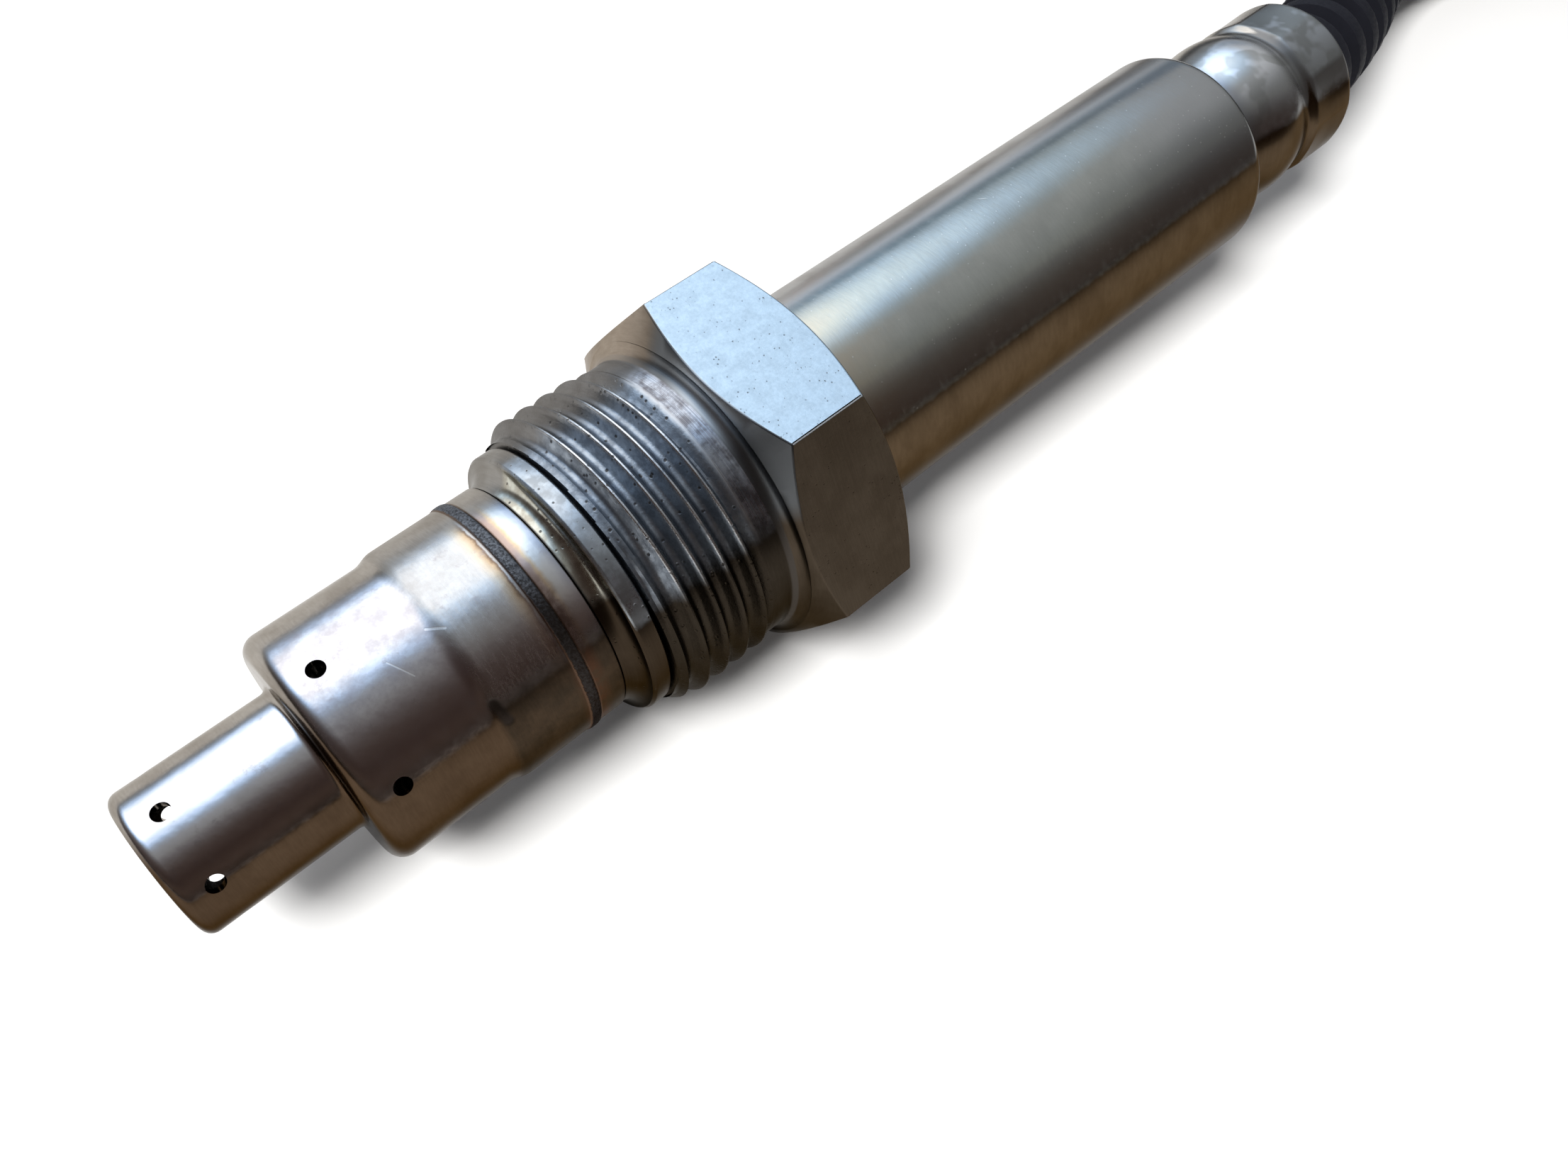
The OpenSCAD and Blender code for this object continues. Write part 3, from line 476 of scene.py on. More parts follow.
capValues = {
    "front": 55.58,
    "flangeRadius": 7.1,
    "shoulder": 58.18,
    "sleeveBack": 59.38,
    "neckRadius": 5.58,
    "humpRadius": 6.27,
    "humpSteps": 24,
    "humpFullness": 0.85,
    "grooveAt": 67.38,
    "grooveRadius": 5.82,
    "crimpFront": 67.88,
    "crimpRadius": 6.2,
    "back": 72.78,
    "rimRound": 0.6,
    "lipRadius": 4.93,
    "wall": 0.5,
    "flats": 10,
    "flatDepth": 0.16,
    "sides": 160,
}


def makeCap(v):
    bore = v["neckRadius"] - v["wall"]
    outline = [(v["front"], v["flangeRadius"] - v["wall"]), (v["front"], v["flangeRadius"])]
    outline += arc(v["shoulder"], v["neckRadius"], v["flangeRadius"] - v["neckRadius"] - 0.05, 90, 25, 4)
    outline += [(v["sleeveBack"] - 0.3, v["neckRadius"])]
    for i in range(v["humpSteps"]):
        share = i / v["humpSteps"]
        low = v["neckRadius"] + (v["grooveRadius"] - v["neckRadius"]) * share
        outline.append((v["sleeveBack"] + (v["grooveAt"] - 0.25 - v["sleeveBack"]) * share,
                        low + (v["humpRadius"] - low) * math.sin(math.pi * share ** 2) ** v["humpFullness"]))
    outline.append((v["grooveAt"] - 0.05, v["grooveRadius"]))
    outline += easeRise(v["grooveAt"] + 0.12, v["grooveRadius"], v["crimpFront"] + 0.5, v["crimpRadius"], 7)
    outline += [(v["crimpFront"] + 1.2, v["crimpRadius"]), (v["crimpFront"] + 2.6, v["crimpRadius"])]
    outline += arc(v["back"] - v["rimRound"], v["crimpRadius"] - v["rimRound"], v["rimRound"], 90, 0, 8)
    outline += [(v["back"], v["lipRadius"] + 0.12), (v["back"] - 0.12, v["lipRadius"]),
                (v["back"] - v["wall"], v["lipRadius"]), (v["back"] - v["wall"], bore),
                (v["shoulder"], bore), (v["front"] + 1, v["flangeRadius"] - v["wall"]),
                (v["front"], v["flangeRadius"] - v["wall"])]
    cap = turnedPiece("rearCap", outline, v["sides"])
    for vertex in cap.data.vertices:  # the crimping tool's flats fade out at both ends of the ring
        x, r = vertex.co.x / mm, math.hypot(vertex.co.y, vertex.co.z) / mm
        if x > v["crimpFront"] and r > v["grooveRadius"] - 0.1:
            turn = math.atan2(vertex.co.z, vertex.co.y) * v["flats"] / fullTurn
            fromMiddle = abs(turn - round(turn)) * 2
            fade = min(1, (x - v["crimpFront"]) / 0.8) * min(1, max(0, (v["back"] - 0.1 - x) / 0.9))
            wanted = r - v["flatDepth"] * (1 - fromMiddle ** 2) * fade
            vertex.co.y *= wanted / r
            vertex.co.z *= wanted / r
    smoothEdges(cap, 32)
    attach(cap, "probe")
    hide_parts("rear_cap")
    return cap


rearCap = makeCap(capValues)
print("turned pieces done")


# Node helpers

def addNode(tree, kind, values=None, **settings):
    node = tree.nodes.new(kind)
    for key, value in settings.items():
        setattr(node, key, value)
    for key, value in (values or {}).items():
        if isinstance(value, bpy.types.NodeSocket):
            tree.links.new(value, node.inputs[key])
        else:
            node.inputs[key].default_value = value
    return node


def calc(tree, how, a, b=0.0, clamp=False):
    return addNode(tree, "ShaderNodeMath", {0: a, 1: b}, operation=how, use_clamp=clamp).outputs[0]


def times(tree, *factors):
    product = factors[0]
    for factor in factors[1:]:
        product = calc(tree, "MULTIPLY", product, factor)
    return product


def plus(tree, a, b, clamp=False):
    return calc(tree, "ADD", a, b, clamp)


def minus(tree, a, b):
    return calc(tree, "SUBTRACT", a, b)


def scaleVector(tree, vector, size):
    return addNode(tree, "ShaderNodeVectorMath", {0: vector, 1: size}, operation="MULTIPLY").outputs[0]


def alongVector(tree, vector, direction):
    node = addNode(tree, "ShaderNodeVectorMath", {0: vector, 1: direction}, operation="DOT_PRODUCT")
    return node.outputs["Value"]


def ownPlace(tree):
    # where a point lies on its own piece, in millimetres
    return scaleVector(tree, addNode(tree, "ShaderNodeTexCoord").outputs["Object"], (1 / mm, 1 / mm, 1 / mm))


def remap(tree, value, low, high, toLow=0.0, toHigh=1.0, smooth=True):
    return addNode(tree, "ShaderNodeMapRange", {"Value": value, "From Min": low, "From Max": high,
                                                "To Min": toLow, "To Max": toHigh},
                   interpolation_type="SMOOTHSTEP" if smooth else "LINEAR").outputs[0]


def mixColour(tree, share, a, b, how="MIX"):
    a, b = [colour if isinstance(colour, bpy.types.NodeSocket) else (*colour, 1) for colour in (a, b)]
    return addNode(tree, "ShaderNodeMix", {0: share, 6: a, 7: b}, data_type="RGBA", blend_type=how).outputs[2]


def mixValue(tree, share, a, b):
    return addNode(tree, "ShaderNodeMix", {0: share, 2: a, 3: b}, data_type="FLOAT").outputs[0]


def noiseOf(tree, place, scale, detail=3.0, rough=0.55):
    return addNode(tree, "ShaderNodeTexNoise", {"Vector": place, "Scale": scale, "Detail": detail,
                                                "Roughness": rough}).outputs["Fac"]


def ramp(tree, value, stops):
    node = addNode(tree, "ShaderNodeValToRGB", {"Fac": value})
    for i, (at, colour) in enumerate(stops):
        stop = node.color_ramp.elements[i] if i < 2 else node.color_ramp.elements.new(at)
        stop.position = at
        stop.color = (*colour, 1)
    return node.outputs["Color"]


def newMaterial(name):
    material = bpy.data.materials.new(name)
    material.use_nodes = True
    tree = material.node_tree
    tree.nodes.clear()
    out = addNode(tree, "ShaderNodeOutputMaterial")
    shader = addNode(tree, "ShaderNodeBsdfPrincipled")
    tree.links.new(shader.outputs[0], out.inputs["Surface"])
    return material, tree, shader


def startGroup(name, **inputs):
    group = bpy.data.node_groups.new(name, "ShaderNodeTree")
    for label, value in inputs.items():
        kind = "NodeSocketVector" if isinstance(value, tuple) else "NodeSocketFloat"
        group.interface.new_socket(name=label, in_out="INPUT", socket_type=kind).default_value = value
    return group, addNode(group, "NodeGroupInput").outputs


def endGroup(group, **results):
    for label, value in results.items():
        kind = "NodeSocketVector" if value.type == "VECTOR" else "NodeSocketFloat"
        group.interface.new_socket(name=label, in_out="OUTPUT", socket_type=kind)
    addNode(group, "NodeGroupOutput", results)
    return group


def useGroup(tree, group, values=None):
    return addNode(tree, "ShaderNodeGroup", values, node_tree=group).outputs


def wear(piece, material):
    piece.data.materials.clear()
    piece.data.materials.append(material)


# Shared effects

# the painted brown reflection and painted shade keep off the side that faces this way
paintedReflectionLean = 0.222  # how far the clear side leans from +z towards -y


def makeAxisGroup():
    # where a point lies in millimetres, along the probe, out from it and round it in turns, and how it faces
    group = startGroup("axisPlace")[0]
    place = ownPlace(group)
    along, y, z = addNode(group, "ShaderNodeSeparateXYZ", {0: place}).outputs
    turn = calc(group, "ARCTAN2", z, y)
    side, top = calc(group, "COSINE", turn), calc(group, "SINE", turn)
    radius = calc(group, "SQRT", plus(group, times(group, y, y), times(group, z, z)))
    return endGroup(group, Along=along, Around=calc(group, "DIVIDE", turn, fullTurn), Radius=radius, Place=place,
                    Side=side, Level=minus(group, top, times(group, side, paintedReflectionLean)))


def makeStreakGroup():
    # fine brush marks: Fine is how short they are over the probe's length, Long how short they are round it
    group, given = startGroup("brushMarks", Place=(0, 0, 0), Fine=14.0, Long=1.2)
    size = addNode(group, "ShaderNodeCombineXYZ", {0: given["Fine"], 1: given["Long"], 2: given["Long"]}).outputs[0]
    fine = noiseOf(group, scaleVector(group, given["Place"], size), 1.0, 4.0, 0.65)
    return endGroup(group, Height=fine, Mask=remap(group, fine, 0.42, 0.62))


def cellMask(group, place, given, edge, channel):
    # the middles of some of the cells, Amount of them, with an edge that fades between two distances
    cells = addNode(group, "ShaderNodeTexVoronoi", {"Vector": place, "Scale": given["Scale"]}).outputs
    chance = addNode(group, "ShaderNodeSeparateColor", {0: cells["Color"]}).outputs[channel]
    return times(group, remap(group, cells["Distance"], *edge), calc(group, "LESS_THAN", chance, given["Amount"]))


def makePitGroup():
    group, given = startGroup("smallPits", Place=(0, 0, 0), Scale=2.0, Amount=0.3)
    return endGroup(group, Mask=cellMask(group, given["Place"], given, (0.32, 0.12), 0))


def makeScratchGroup():
    # a few thin straight scratches, all lying roughly one way
    group, given = startGroup("thinScratches", Place=(0, 0, 0), Turn=(0, 0, 0), Scale=1.0, Amount=0.5)
    turned = addNode(group, "ShaderNodeVectorRotate", {"Vector": given["Place"], "Rotation": given["Turn"]},
                     rotation_type="EULER_XYZ").outputs[0]
    return endGroup(group, Mask=cellMask(group, scaleVector(group, turned, (0.16, 1.6, 1.6)), given, (0.07, 0.02), 1))


axisGroup = makeAxisGroup()
streakGroup = makeStreakGroup()
pitGroup = makePitGroup()
scratchGroup = makeScratchGroup()


# Metals

def band(tree, value, low, high, soft):
    # 1 between low and high, with soft borders
    rise = remap(tree, value, low - soft, low + soft)
    fall = remap(tree, value, high + soft, high - soft)
    return times(tree, rise, fall)


def facing(tree, direction):
    return alongVector(tree, addNode(tree, "ShaderNodeTexCoord").outputs["Normal"], direction)


def pitsOf(look, scale, amount):
    return useGroup(look["tree"], pitGroup, {"Place": look["place"], "Scale": scale, "Amount": amount})["Mask"]


def scratchesOf(look, scale, amount, turn):
    return useGroup(look["tree"], scratchGroup, {"Place": look["place"], "Scale": scale, "Amount": amount,
                                                 "Turn": turn})["Mask"]


def raggedOf(look, size):
    # makes a border uneven by this much
    return times(look["tree"], minus(look["tree"], look["smear"], 0.5), size)


def addRelief(look, mask, lift):
    # lift is in micrometres
    look["height"] = plus(look["tree"], look["height"], times(look["tree"], mask, lift))


def addLayer(look, mask, colour=None, rough=None, lift=None):
    tree = look["tree"]
    if colour is not None:
        look["colour"] = mixColour(tree, mask, look["colour"], colour)
    if rough is not None:
        look["rough"] = mixValue(tree, mask, look["rough"], rough)
    if lift is not None:
        addRelief(look, mask, lift)


steelValues = {
    "cloudScale": 0.35,
    "shade": 0.88,
    "waveScale": 0.55,
    "fine": 12.0,
    "long": 0.9,
    "tintShare": 0.45,
}


def startSteel(name, look):
    # base colour, roughness and micrometres of waviness and brushing; later layers change them
    v = {**steelValues, **look}
    material, tree, shader = newMaterial(name)
    axis = useGroup(tree, axisGroup)
    place = axis["Place"]
    cloud = noiseOf(tree, place, v["cloudScale"], 4.0)
    smear = noiseOf(tree, place, 1.6, 5.0, 0.6)
    colour = mixColour(tree, remap(tree, cloud, 0.35, 0.7), v["colour"], [c * v["shade"] for c in v["colour"]])
    rough = remap(tree, smear, 0.35, 0.7, v["rough"], v["rough"] + v["roughSpread"])
    wave = times(tree, noiseOf(tree, place, v["waveScale"], 2.5, 0.5), v["wave"])
    streaks = useGroup(tree, streakGroup, {"Place": place, "Fine": v["fine"], "Long": v["long"]})
    return {"material": material, "tree": tree, "shader": shader, "axis": axis, "place": place, "cloud": cloud,
            "smear": smear, "streaks": streaks, "colour": colour, "rough": rough, "reflectionPainted": 0.0,
            "height": plus(tree, wave, times(tree, streaks["Height"], v["brush"]))}


def paintedBrownReflection(look, dark, pale, rough, reach=1.0, level=None, start=0.81, full=0.745, turn=(-0.55, 0.5)):
    # painted brown reflection and painted shade on all that faces sideways or down, darker on the side that lies
    # towards -y
    tree, axis = look["tree"], look["axis"]
    level = level or facing(tree, (0, -paintedReflectionLean, 1))
    mask = times(tree, remap(tree, plus(tree, level, raggedOf(look, 0.04)), start, full), reach)
    shade = mixColour(tree, remap(tree, axis["Side"], *turn), dark, pale)
    shade = mixColour(tree, times(tree, remap(tree, look["cloud"], 0.38, 0.62), 0.3), shade,
                      (0.5, 0.46, 0.42), "MULTIPLY")
    shade = mixColour(tree, times(tree, remap(tree, look["streaks"]["Height"], 0.3, 0.7), 0.35), shade,
                      (0.62, 0.6, 0.58), "MULTIPLY")
    # darker still where the surface faces down: painted shade
    paintedShadeBelow = times(tree, remap(tree, level, 0.5, 0.0), remap(tree, axis["Side"], 0.2, -0.2))
    shade = mixColour(tree, times(tree, paintedShadeBelow, 0.7), shade, (0.5, 0.48, 0.45), "MULTIPLY")
    look["reflectionPainted"] = mixValue(tree, mask, look["reflectionPainted"], 1.0)
    addLayer(look, mask, shade, rough)


def lineMask(look, across, start, end, width):
    # a thin straight mark from start to end, each given as (millimetres along, millimetres across)
    tree = look["tree"]
    run, rise = end[0] - start[0], end[1] - start[1]
    u = minus(tree, look["axis"]["Along"], start[0])
    w = minus(tree, across, start[1])
    share = plus(tree, times(tree, u, run / (run * run + rise * rise)),
                 times(tree, w, rise / (run * run + rise * rise)), clamp=True)
    du = minus(tree, u, times(tree, share, run))
    dw = minus(tree, w, times(tree, share, rise))
    away = calc(tree, "SQRT", plus(tree, times(tree, du, du), times(tree, dw, dw)))
    return remap(tree, away, width, width * 0.3)


def endSteel(look):
    tree, shader = look["tree"], look["shader"]
    tree.links.new(look["colour"], shader.inputs["Base Color"])
    tree.links.new(look["rough"], shader.inputs["Roughness"])
    clear, reflectionPainted = [mixColour(tree, steelValues["tintShare"], look["colour"], edge)
                     for edge in ((1, 1, 1), (1, 0.98, 0.95))]
    tint = mixColour(tree, look["reflectionPainted"], clear, reflectionPainted)
    # darker edge tint where the weld's painted shade lies
    if "sooty" in look:
        tint = mixColour(tree, look["sooty"], tint, (0.2, 0.17, 0.15))
    tree.links.new(tint, shader.inputs["Specular Tint"])
    bump = addNode(tree, "ShaderNodeBump", {"Strength": 1.0, "Distance": mm / 1000, "Height": look["height"]})
    tree.links.new(bump.outputs[0], shader.inputs["Normal"])
    shader.inputs["Metallic"].default_value = 1.0
    return look["material"]


def heatTint(look, distance, stops, reach):
    # colours that run away from a heated seam; distance is in millimetres
    tree = look["tree"]
    return ramp(tree, remap(tree, plus(tree, distance, raggedOf(look, 0.35)), 0.0, reach, smooth=False), stops)


tubeLook = {
    "colour": (0.63, 0.62, 0.64),
    "rough": 0.1,
    "roughSpread": 0.06,
    "wave": 16.0,
    "waveScale": 0.9,
    "fine": 9.0,
    "long": 1.1,
    "brush": 0.5,
    "weldAt": -3.38,
    "weldHalf": 0.34,
    "middleFrom": -16.5,
    "satinFrom": -8.6,
    "tintReach": 3.0,
}


def makeTubeSteel(v):
    look = startSteel("tubeSteel", v)
    tree, axis, place = look["tree"], look["axis"], look["place"]
    along = axis["Along"]
    middle = remap(tree, along, v["middleFrom"] - 0.4, v["middleFrom"] + 0.4)
    blotch = noiseOf(tree, place, 0.7, 6.0, 0.68)
    addLayer(look, middle, mixColour(tree, remap(tree, blotch, 0.3, 0.7), (0.6, 0.6, 0.63), (0.42, 0.405, 0.43)),
             remap(tree, blotch, 0.3, 0.7, 0.12, 0.24))
    satin = remap(tree, along, v["satinFrom"] - 0.3, v["satinFrom"] + 0.3)
    ground = noiseOf(tree, scaleVector(tree, place, (6.0, 1.1, 1.1)), 1.0, 4.0, 0.7)
    satinShade = mixColour(tree, remap(tree, blotch, 0.25, 0.75), (0.5, 0.515, 0.53), (0.38, 0.375, 0.375))
    addLayer(look, satin, satinShade, remap(tree, ground, 0.3, 0.7, 0.18, 0.3))
    addRelief(look, satin, times(tree, ground, 3.2))
    before = minus(tree, v["weldAt"] - v["weldHalf"], along)
    after = minus(tree, along, v["weldAt"] + v["weldHalf"])
    warm = heatTint(look, before, [(0.0, (0.3, 0.3, 0.31)), (0.05, (0.4, 0.4, 0.4)), (0.085, (0.15, 0.1, 0.07)),
                                   (0.14, (0.42, 0.32, 0.22)), (0.24, (0.54, 0.47, 0.38)), (0.42, (0.5, 0.5, 0.5)),
                                   (1.0, (0.5, 0.5, 0.52))], v["tintReach"])
    nearWeld = remap(tree, before, 1.9, 0.5)
    addLayer(look, times(tree, nearWeld, satin), warm)
    behind = heatTint(look, after, [(0.0, (0.2, 0.14, 0.12)), (0.1, (0.34, 0.26, 0.23)), (0.22, (0.4, 0.31, 0.27)),
                                    (0.34, (0.56, 0.43, 0.29)), (0.5, (0.6, 0.6, 0.58)), (0.75, (0.58, 0.59, 0.6)),
                                    (1.0, (0.4, 0.42, 0.48))], 1.7)
    addLayer(look, remap(tree, after, -0.05, 0.05), behind, 0.2)
    # painted reflection and painted shade: browner on the side that faces -y
    low = remap(tree, facing(tree, (0, -1, 0)), 0.25, 0.6)
    addLayer(look, times(tree, low, 0.7), (0.42, 0.34, 0.31))
    smudge = remap(tree, noiseOf(tree, place, 0.9, 5.0, 0.7), 0.56, 0.72)
    addLayer(look, times(tree, smudge, 0.45), (0.3, 0.27, 0.28), 0.32)
    across = times(tree, axis["Around"], fullTurn * 7.5)
    marks = ((-13.2, 9.8, -12.3, 10.9, 0.09), (-12.6, 10.4, -12.1, 11.5, 0.06), (-11.6, 13.2, -10.9, 14.6, 0.06),
             (-9.0, 12.9, -8.2, 13.5, 0.1))
    for u0, w0, u1, w1, width in marks:
        addLayer(look, times(tree, lineMask(look, across, (u0, w0), (u1, w1), width), 0.6),
                 (0.85, 0.85, 0.85), 0.3, -4.0)
    stain = times(tree, band(tree, along, -9.3, -8.3, 0.7), band(tree, across, 14.2, 16.4, 1.2))
    addLayer(look, times(tree, stain, 0.6), (0.2, 0.13, 0.125), 0.3)
    level = minus(tree, facing(tree, (0, -paintedReflectionLean, 1)), times(tree, satin, 0.045))
    dark = mixColour(tree, times(tree, satin, remap(tree, blotch, 0.3, 0.7, 0.5, 1.0)), (0.072, 0.046, 0.028),
                     (0.044, 0.032, 0.022))
    paintedBrownReflection(look, dark, (0.37, 0.345, 0.315), remap(tree, satin, 0.0, 1.0, 0.2, 0.34), 1.0, level, 0.85, 0.71)
    # darker red-brown next to the weld, only on the side towards -y
    darkNearWeldLow = times(tree, remap(tree, axis["Side"], -0.15, -0.5),
                 band(tree, along, v["weldAt"] - 0.5, v["weldAt"] + 1.0, 0.4), remap(tree, blotch, 0.35, 0.6))
    addLayer(look, times(tree, darkNearWeldLow, 0.75), (0.075, 0.035, 0.02), 0.36)
    # a shallow dent, painted dark as shade inside it
    dentPaintedShade = lineMask(look, across, (-8.45, 18.2), (-8.2, 19.5), 0.45)
    addLayer(look, times(tree, dentPaintedShade, 0.75), (0.025, 0.02, 0.018), 0.3, -20.0)
    grain = noiseOf(tree, place, 6.0, 4.0, 0.7)
    weld = band(tree, plus(tree, along, times(tree, grain, 0.2)),
                v["weldAt"] - v["weldHalf"] + 0.12, v["weldAt"] + v["weldHalf"] + 0.08, 0.04)
    for side in (-1, 1):  # burnt lines along both borders of the bead
        edge = v["weldAt"] + side * (v["weldHalf"] + 0.02)
        addLayer(look, times(tree, band(tree, along, edge - 0.08, edge + 0.08, 0.06), 0.8),
                 (0.1, 0.06, 0.04), 0.35)
    weldShade = mixColour(tree, remap(tree, grain, 0.35, 0.65), (0.045, 0.046, 0.05), (0.17, 0.18, 0.2))
    # painted shade: the bead is darker on the side towards -y, and its edge tint darkens there too
    paintedWeldShade = times(tree, remap(tree, axis["Side"], -0.1, -0.6), 0.85)
    weldShade = mixColour(tree, paintedWeldShade, weldShade, (0.025, 0.018, 0.013))
    addLayer(look, weld, weldShade, 0.45)
    look["sooty"] = times(tree, weld, paintedWeldShade)
    addRelief(look, weld, times(tree, grain, 50.0))
    return endSteel(look)


def makeCollarSteel():
    look = startSteel("collarSteel", {"colour": (0.42, 0.46, 0.5), "rough": 0.24, "roughSpread": 0.14,
                                      "wave": 5.0, "brush": 1.6, "fine": 10.0, "long": 0.3})
    tree, along = look["tree"], look["axis"]["Along"]
    blotch = remap(tree, noiseOf(tree, look["place"], 0.9, 5.0, 0.65), 0.4, 0.6)
    addLayer(look, blotch, (0.3, 0.32, 0.34), 0.34)
    flare = remap(tree, along, 0.02, -0.1)
    addLayer(look, flare, mixColour(tree, blotch, (0.5, 0.5, 0.44), (0.34, 0.32, 0.27)), 0.2)
    # painted shade in the crease where the tube ends against the flare
    paintedGrooveShade = remap(tree, along, -1.02, -1.16)
    addLayer(look, paintedGrooveShade, (0.05, 0.045, 0.04), 0.5)
    addLayer(look, times(tree, pitsOf(look, 3.2, 0.22), 0.8), (0.08, 0.07, 0.06), 0.5, -14.0)
    earlier = times(tree, remap(tree, look["axis"]["Side"], 0.0, -0.4), flare, 0.15)
    paintedBrownReflection(look, (0.042, 0.03, 0.02), (0.28, 0.27, 0.255), 0.3, 1.0,
              minus(tree, look["axis"]["Level"], earlier))
    return endSteel(look)


nutLook = {
    "colour": (0.5, 0.515, 0.54),
    "rough": 0.3,
    "roughSpread": 0.12,
    "wave": 4.0,
    "brush": 0.8,
    "threadEnd": 8.55,
    "neckEnd": 9.9,
    "hexFront": 10.7,
    "hexBack": 18.5,
    "crestRadius": 9.93,
}


def makeNutSteel(v):
    look = startSteel("nutSteel", v)
    tree, axis, place = look["tree"], look["axis"], look["place"]
    along, radius = axis["Along"], axis["Radius"]
    fine = noiseOf(tree, place, 5.0, 4.0, 0.7)
    mottle = noiseOf(tree, place, 1.3, 5.0, 0.65)

    thread = remap(tree, along, v["threadEnd"] + 0.25, v["threadEnd"] - 0.1)
    slate = mixColour(tree, remap(tree, mottle, 0.36, 0.64), (0.19, 0.215, 0.25), (0.32, 0.36, 0.41))
    addLayer(look, thread, slate, remap(tree, mottle, 0.3, 0.7, 0.44, 0.3))
    crest = times(tree, thread, remap(tree, radius, v["crestRadius"] - 0.02, v["crestRadius"] + 0.03))
    broken = remap(tree, noiseOf(tree, place, 1.1, 4.0, 0.7), 0.3, 0.52)
    addLayer(look, times(tree, crest, broken), (0.55, 0.56, 0.57), 0.24)
    addRelief(look, thread, plus(tree, times(tree, fine, 14.0), times(tree, mottle, 18.0)))
    addLayer(look, times(tree, thread, pitsOf(look, 2.4, 0.32), 0.85), (0.05, 0.045, 0.04), 0.6, -25.0)

    neck = band(tree, along, v["threadEnd"] + 0.2, v["hexFront"] - 0.1, 0.1)
    lathe = noiseOf(tree, scaleVector(tree, place, (16.0, 0.12, 0.12)), 1.0, 2.0)
    haze = mixColour(tree, remap(tree, mottle, 0.35, 0.65), (0.4, 0.43, 0.48), (0.17, 0.17, 0.185))
    haze = mixColour(tree, remap(tree, lathe, 0.4, 0.6), haze, (0.72, 0.72, 0.74), "MULTIPLY")
    # painted highlight: lighter at one angle round the axis, used on the neck foot and the top of the front face
    paintedHighlightBand = band(tree, axis["Side"], -0.3, 0.14, 0.14)
    footPaintedHighlight = mixColour(tree, paintedHighlightBand, (0.12, 0.125, 0.135), (0.72, 0.77, 0.82))
    haze = mixColour(tree, remap(tree, along, v["neckEnd"] - 0.1, v["hexFront"] - 0.3), haze, footPaintedHighlight)
    addLayer(look, neck, haze, remap(tree, lathe, 0.35, 0.65, 0.18, 0.34))
    addRelief(look, neck, times(tree, lathe, 3.0))

    flats = times(tree, band(tree, along, v["hexFront"] - 0.1, v["hexBack"] + 0.1, 0.05),
                 remap(tree, facing(tree, (-1, 0, 0)), 0.3, 0.1))
    blast = mixColour(tree, remap(tree, fine, 0.35, 0.65), (0.47, 0.585, 0.68), (0.42, 0.53, 0.62))
    addLayer(look, flats, blast, remap(tree, mottle, 0.3, 0.7, 0.4, 0.5))
    addRelief(look, flats, times(tree, fine, 5.0))
    worn = times(tree, pitsOf(look, 4.6, 0.3), remap(tree, mottle, 0.47, 0.6))
    addLayer(look, times(tree, flats, worn, 0.8), (0.17, 0.19, 0.21), 0.5, -16.0)
    addLayer(look, times(tree, flats, scratchesOf(look, 0.9, 0.22, (0.2, 0.3, 1.1))), (0.85, 0.92, 0.97), 0.4, -3.0)
    # painted highlight on the rounded hex edge that faces up and towards -y
    edge = times(tree, flats, remap(tree, facing(tree, (0, -0.5, 0.866)), 0.94, 0.97))
    addLayer(look, edge, (0.9, 0.93, 0.95), 0.65)
    lathed = remap(tree, along, v["hexFront"] - 0.35, v["hexFront"] - 0.45)
    paintedBrownReflection(look, (0.034, 0.027, 0.02), (0.2, 0.195, 0.19), 0.36, lathed, axis["Level"], 0.9, 0.76)
    onHex = minus(tree, 1.0, lathed)
    # painted reflection and painted shade on the front face of the hex: dark below, pale towards +y
    front = times(tree, remap(tree, facing(tree, (-1, 0, 0)), 0.1, 0.35),
                  remap(tree, along, v["neckEnd"] - 0.05, v["neckEnd"] + 0.1))
    frontPaintedShading = mixColour(tree, remap(tree, axis["Side"], 0.3, 0.75), (0.06, 0.052, 0.045), (0.3, 0.26, 0.22))
    addLayer(look, front, frontPaintedShading, 0.4)
    paintedBrownReflection(look, (0.064, 0.049, 0.035), (0.34, 0.29, 0.24), 0.3, onHex, turn=(0.25, 0.7))
    # painted highlight and painted shade on the upper part of the front face
    topFrontPaintedHighlight = times(tree, front, remap(tree, axis["Level"], 0.78, 0.88))
    addLayer(look, topFrontPaintedHighlight, mixColour(tree, paintedHighlightBand, (0.1, 0.105, 0.11), (0.34, 0.37, 0.4)), 0.34)
    return endSteel(look)


sleeveLook = {
    "colour": (0.46, 0.475, 0.44),
    "rough": 0.09,
    "roughSpread": 0.05,
    "wave": 6.0,
    "waveScale": 0.3,
    "fine": 4.5,
    "long": 0.9,
    "brush": 3.6,
    "nutBack": 18.5,
    "back": 59.38,
}


